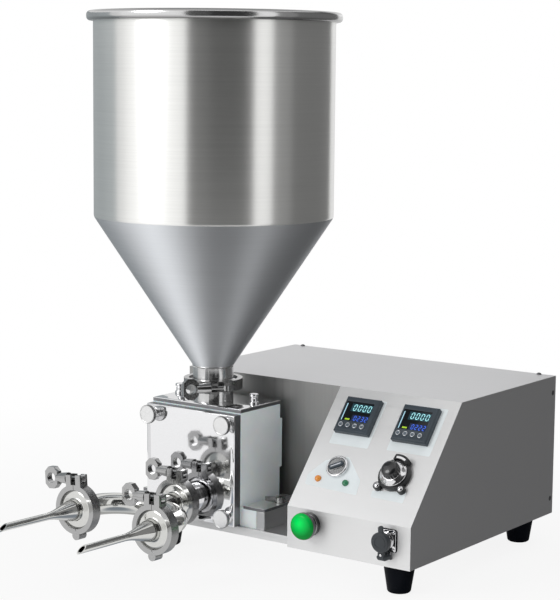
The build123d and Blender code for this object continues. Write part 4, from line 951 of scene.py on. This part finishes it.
# %% [markdown]
# ## Start button
# The button is a glossy domed lens in a metal ring, over a dark collar. It is lit from within: the glow is
# strongest at one spot of the dome and fades out with the distance from it. The spot lies above the middle of
# the dome, so the glow is partly a painted highlight on the lens.

# %% Start button
button = at(strip, -137.2, 33)
# The glow's spot sits up and to the left of the axis: a lamp glow that also paints the lens's highlight.
glow_highlight_spot = button @ Vector((-1 * mm, 5 * mm, 22 * mm))
glow_start, glow_end, glow_strength = 2 * mm, 16 * mm, 0.72
tree = button_green.node_tree
glow_reach = vector_math(tree, "LENGTH", vector_math(tree, "SUBTRACT", position(tree), glow_highlight_spot))
feed(button_green, map_range(tree, glow_reach, glow_start, glow_end, glow_strength, 0), "Emission Strength")
dome_outline = [
    (0, -18), (4, -18), (4, 0), (11, 0), (11, 11.3), (16, 11.3, 0.6), (16, 16.2, 1.2), (14.7, 19.5, 1.5),
    (9, 21.7, 5), (0, 22),
]
lens_foot, ring_height = 16.4, 5.9
dome = marked(turned(dome_outline, 72), lambda middle: middle.z < lens_foot * mm)
piece(dome, "start_button_dome", button_green, "start_button", button, instead=True, second=[dark_screw])
ring_plane = button.translation.y - ring_height * mm
softened("button_collar", dark_ring, 0.4, (rim_steel, lambda face: face.center.y < ring_plane))

# %% [markdown]
# ## Pedal socket
# The socket for the foot pedal is a chromed flange on a black gasket, closed by a moulded cap on a hinge.

# %% Pedal socket
socket = at(strip, -30.6, 31.6)
hinge_drop, flange_height, screw_pitch = 12.6, 2.5, 19.6
hinge_top = socket.translation.z - hinge_drop * mm
softened("pedal_socket", chrome, 0.4, (cap_plastic, lambda face: face.center.z < hinge_top))
gasket = plate(rectangle(26.6, 26.6), 0.9, 3)
piece(gasket, "socket_gasket", black_rubber, "pedal_socket", socket)
flange_screw = turned([(0, -0.3), (1.7, -0.3), (1.7, 0.4, 0.2), (1.1, 1, 0.4), (0, 1.1)], 24)
corner_places = [at(socket, u, v, flange_height) for u, v in rectangle(screw_pitch, screw_pitch)]
piece(flange_screw, "socket_screws", chrome, "pedal_socket", *corner_places)
softened("socket_cap", cap_plastic, 0.6, segments=3)
cap_face = at(socket, 0, 0, (socket.translation.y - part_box("socket_cap")[0].y) / mm)
cap_ring = turned([(6.2, -0.2), (7.8, -0.2), (7.8, 0.4, 0.3), (6.2, 0.4, 0.3)], 64)
piece(cap_ring, "cap_ring", cap_plastic, "socket_cap", cap_face)
ear_screw = turned([(0, -0.3), (1.6, -0.3), (1.6, 0.4, 0.2), (1, 0.9, 0.4), (0, 1)], 24)
piece(ear_screw, "cap_ear_screw", chrome, "socket_cap", at(socket, 0, -15, 13.9))

# %% [markdown]
# ## Studio
# Polished steel shows its surroundings more than itself, so the studio is part of the finish. The floor and
# the world are white to the camera and in reflections, and weaker for the light that they throw. Near the
# machine the floor is a little darker.

# %% Floor
def bare_finish(name):
    """A finish with nothing at its output yet."""
    finish = bpy.data.materials.new(name)
    finish.use_nodes = True
    finish.node_tree.nodes.remove(shader_of(finish))
    return finish


def glowing(tree, colour):
    return add_node(tree, "Emission", {"Color": (*colour, 1)}).outputs[0]


def mixed(tree, share, first, second):
    """The first shader, with a share of the second in its place."""
    return add_node(tree, "MixShader", {"Fac": share, 1: first, 2: second}).outputs[0]


def surface(tree, shader, output="Material Output"):
    tree.links.new(shader, tree.nodes[output].inputs["Surface"])


def seen_rays(tree):
    """1 for rays from the camera, from a reflection and through glass."""
    path = add_node(tree, "LightPath").outputs
    first = number_math(tree, "MAXIMUM", path["Is Camera Ray"], path["Is Glossy Ray"])
    return number_math(tree, "MAXIMUM", first, path["Is Transmission Ray"])


def disc(radius, segments):
    bm = bmesh.new()
    bmesh.ops.create_circle(bm, segments=segments, radius=radius, cap_ends=True)
    return bm


shade_start, shade_end, shaded_share = 0.4, 1.1, 0.87
floor_finish = bare_finish("pale floor")
tree = floor_finish.node_tree
matt = add_node(tree, "BsdfDiffuse", {"Color": (0.85, 0.85, 0.85, 1)}).outputs[0]
reach = vector_math(tree, "LENGTH", position(tree))
pale = map_range(tree, reach, shade_start, shade_end, shaded_share, 1)
share = number_math(tree, "MULTIPLY", seen_rays(tree), pale)
surface(tree, mixed(tree, share, matt, glowing(tree, (1, 1, 1))))
floor = new_object(disc(12, 64), "floor", floor_finish)
floor.location.z = -0.5 * mm

# %% [markdown]
# ## Cards
# Grey curved cards stand out of sight all round: they put the dark bands on the hopper that tell the eye it
# is round. A soft round shade on the floor does the same for the undersides of the tubes.

# %% Cards
def unseen(bm, name, finish):
    """A shape of the studio that shows in reflections and nowhere else."""
    made = new_object(bm, name, finish)
    made.visible_camera = False
    made.visible_diffuse = False
    made.visible_shadow = False
    return made


def card(name, start, end, fold, grey, lift=0.0, tint=(1, 1, 1)):
    """A grey card from one bearing to another; 0 is in front. It lies on the floor and folds up at far."""
    near, far, height = fold
    bearing = math.radians(start)
    way = Vector((math.sin(bearing), -math.cos(bearing), 0))
    bm = bmesh.new()
    corners = [
        bm.verts.new(way * reach + Vector((0, 0, lift + z)))
        for reach, z in ((near, 0), (far, 0), (far, height))
    ]
    edges = [bm.edges.new(pair) for pair in zip(corners, corners[1:])]
    bmesh.ops.spin(
        bm, geom=corners + edges, cent=(0, 0, 0), axis=(0, 0, 1), angle=math.radians(end - start), steps=24
    )
    finish = bare_finish(name)
    surface(finish.node_tree, glowing(finish.node_tree, shade(tint, grey)))
    unseen(bm, name, finish)


def soft_spot(name, centre, radius, colour, core=0.3):
    """A round shade on the floor that fades out from its core to its edge."""
    finish = bare_finish(name)
    tree = finish.node_tree
    reach = vector_math(tree, "LENGTH", position(tree))
    fade = map_range(tree, reach, core * radius, radius, interpolation_type="SMOOTHSTEP")
    clear = add_node(tree, "BsdfTransparent").outputs[0]
    surface(tree, mixed(tree, fade, glowing(tree, colour), clear))
    unseen(disc(radius, 48), name, finish).location = centre


soft_spot("shade under the nozzles", (-0.06, -0.175, 0.002), 0.1, (0.27, 0.3, 0.34))
camera_fold, right_fold, left_fold = (0.8, 0.9, 1.3), (0.75, 0.8, 1.2), (0.85, 0.9, 0.8)
cool = (0.93, 1, 1.03)
card("card left of the camera", 9, 30, camera_fold, 0.095)
card("card behind the camera", 30, 63, camera_fold, 0.045)
card("card right of the camera", 63, 71, camera_fold, 0.09)
card("floor card on the left", -150, -45, (0.02, 0.3, 0.01), 0.5)
card("card overhead", 0, 360, (0.001, 0.9, 0), 0.8, lift=1.6)
card("pale card on the right", 90, 112, right_fold, 0.27)
card("dark card on the right", 112, 178, right_fold, 0.16)
card("floor card on the right", 80, 178, (0.2, 0.75, 0.01), 0.16)
card("grey card on the left", -128, -80, left_fold, 0.38, tint=cool)
card("middle card on the left", -80, -62, left_fold, 0.42, tint=cool)
card("pale card on the left", -62, -50, left_fold, 0.8)
card("card behind", -185, -128, (0.85, 0.9, 0.7), 0.8)

# %% [markdown]
# ## World and lamp
# The world is the backdrop where it is seen and a weaker light everywhere else. One soft lamp in front, to
# the left, gives the light a direction.

# %% World and lamp
white = (1, 1, 1, 1)
ambient_strength = 0.65
world = bpy.data.worlds.new("studio")
scene.world = world
world.use_nodes = True
tree = world.node_tree
tree.nodes.remove(tree.nodes["Background"])
ambient = add_node(tree, "Background", {"Color": white, "Strength": ambient_strength}).outputs[0]
backdrop = add_node(tree, "Background", {"Color": white, "Strength": 1}).outputs[0]
surface(tree, mixed(tree, seen_rays(tree), ambient, backdrop), "World Output")

lamp_target = Vector((0, 0, 0.3))
lamp = bpy.data.objects.new("key lamp", bpy.data.lights.new("key lamp", "AREA"))
lamp.data.shape = "DISK"
lamp.data.size = 1.6
lamp.data.energy = 30
lamp.location = (-1.3, -2.75, 1.7)
lamp.rotation_mode = "QUATERNION"
lamp.rotation_quaternion = (lamp_target - lamp.location).to_track_quat("-Z", "Y")
scene.collection.objects.link(lamp)

# %% [markdown]
# ## Camera
# The camera was solved from the straight edges of the cabinet: a long lens, a little above the machine and
# to its right. Its rotation is set from its three axes, with the small roll that the photograph has.

# %% Camera
yaw, pitch, roll = (math.radians(angle) for angle in (35.963, 7.420, 0.539))
camera_place = Vector((1264.56, -1718.52, 596.40)) * mm
focal_pixels, photo_pixels, sensor = 1791.96, 600, 36
forward = Vector((-math.sin(yaw) * math.cos(pitch), math.cos(yaw) * math.cos(pitch), -math.sin(pitch)))
right = Vector((math.cos(yaw), math.sin(yaw), 0))
up = right.cross(forward)
rolled_right = right * math.cos(roll) + up * math.sin(roll)
rolled_up = up * math.cos(roll) - right * math.sin(roll)
camera = bpy.data.objects.new("photo camera", bpy.data.cameras.new("photo camera"))
camera.data.sensor_fit = "AUTO"
camera.data.sensor_width = sensor
camera.data.lens = focal_pixels / photo_pixels * sensor
turn = Matrix((rolled_right, rolled_up, -forward)).transposed()
camera.matrix_world = Matrix.Translation(camera_place) @ turn.to_4x4()
scene.collection.objects.link(camera)
scene.camera = camera

# %% [markdown]
# ## Update
# The view layer is brought up to date at the end.

# %% Update
bpy.context.view_layer.update()
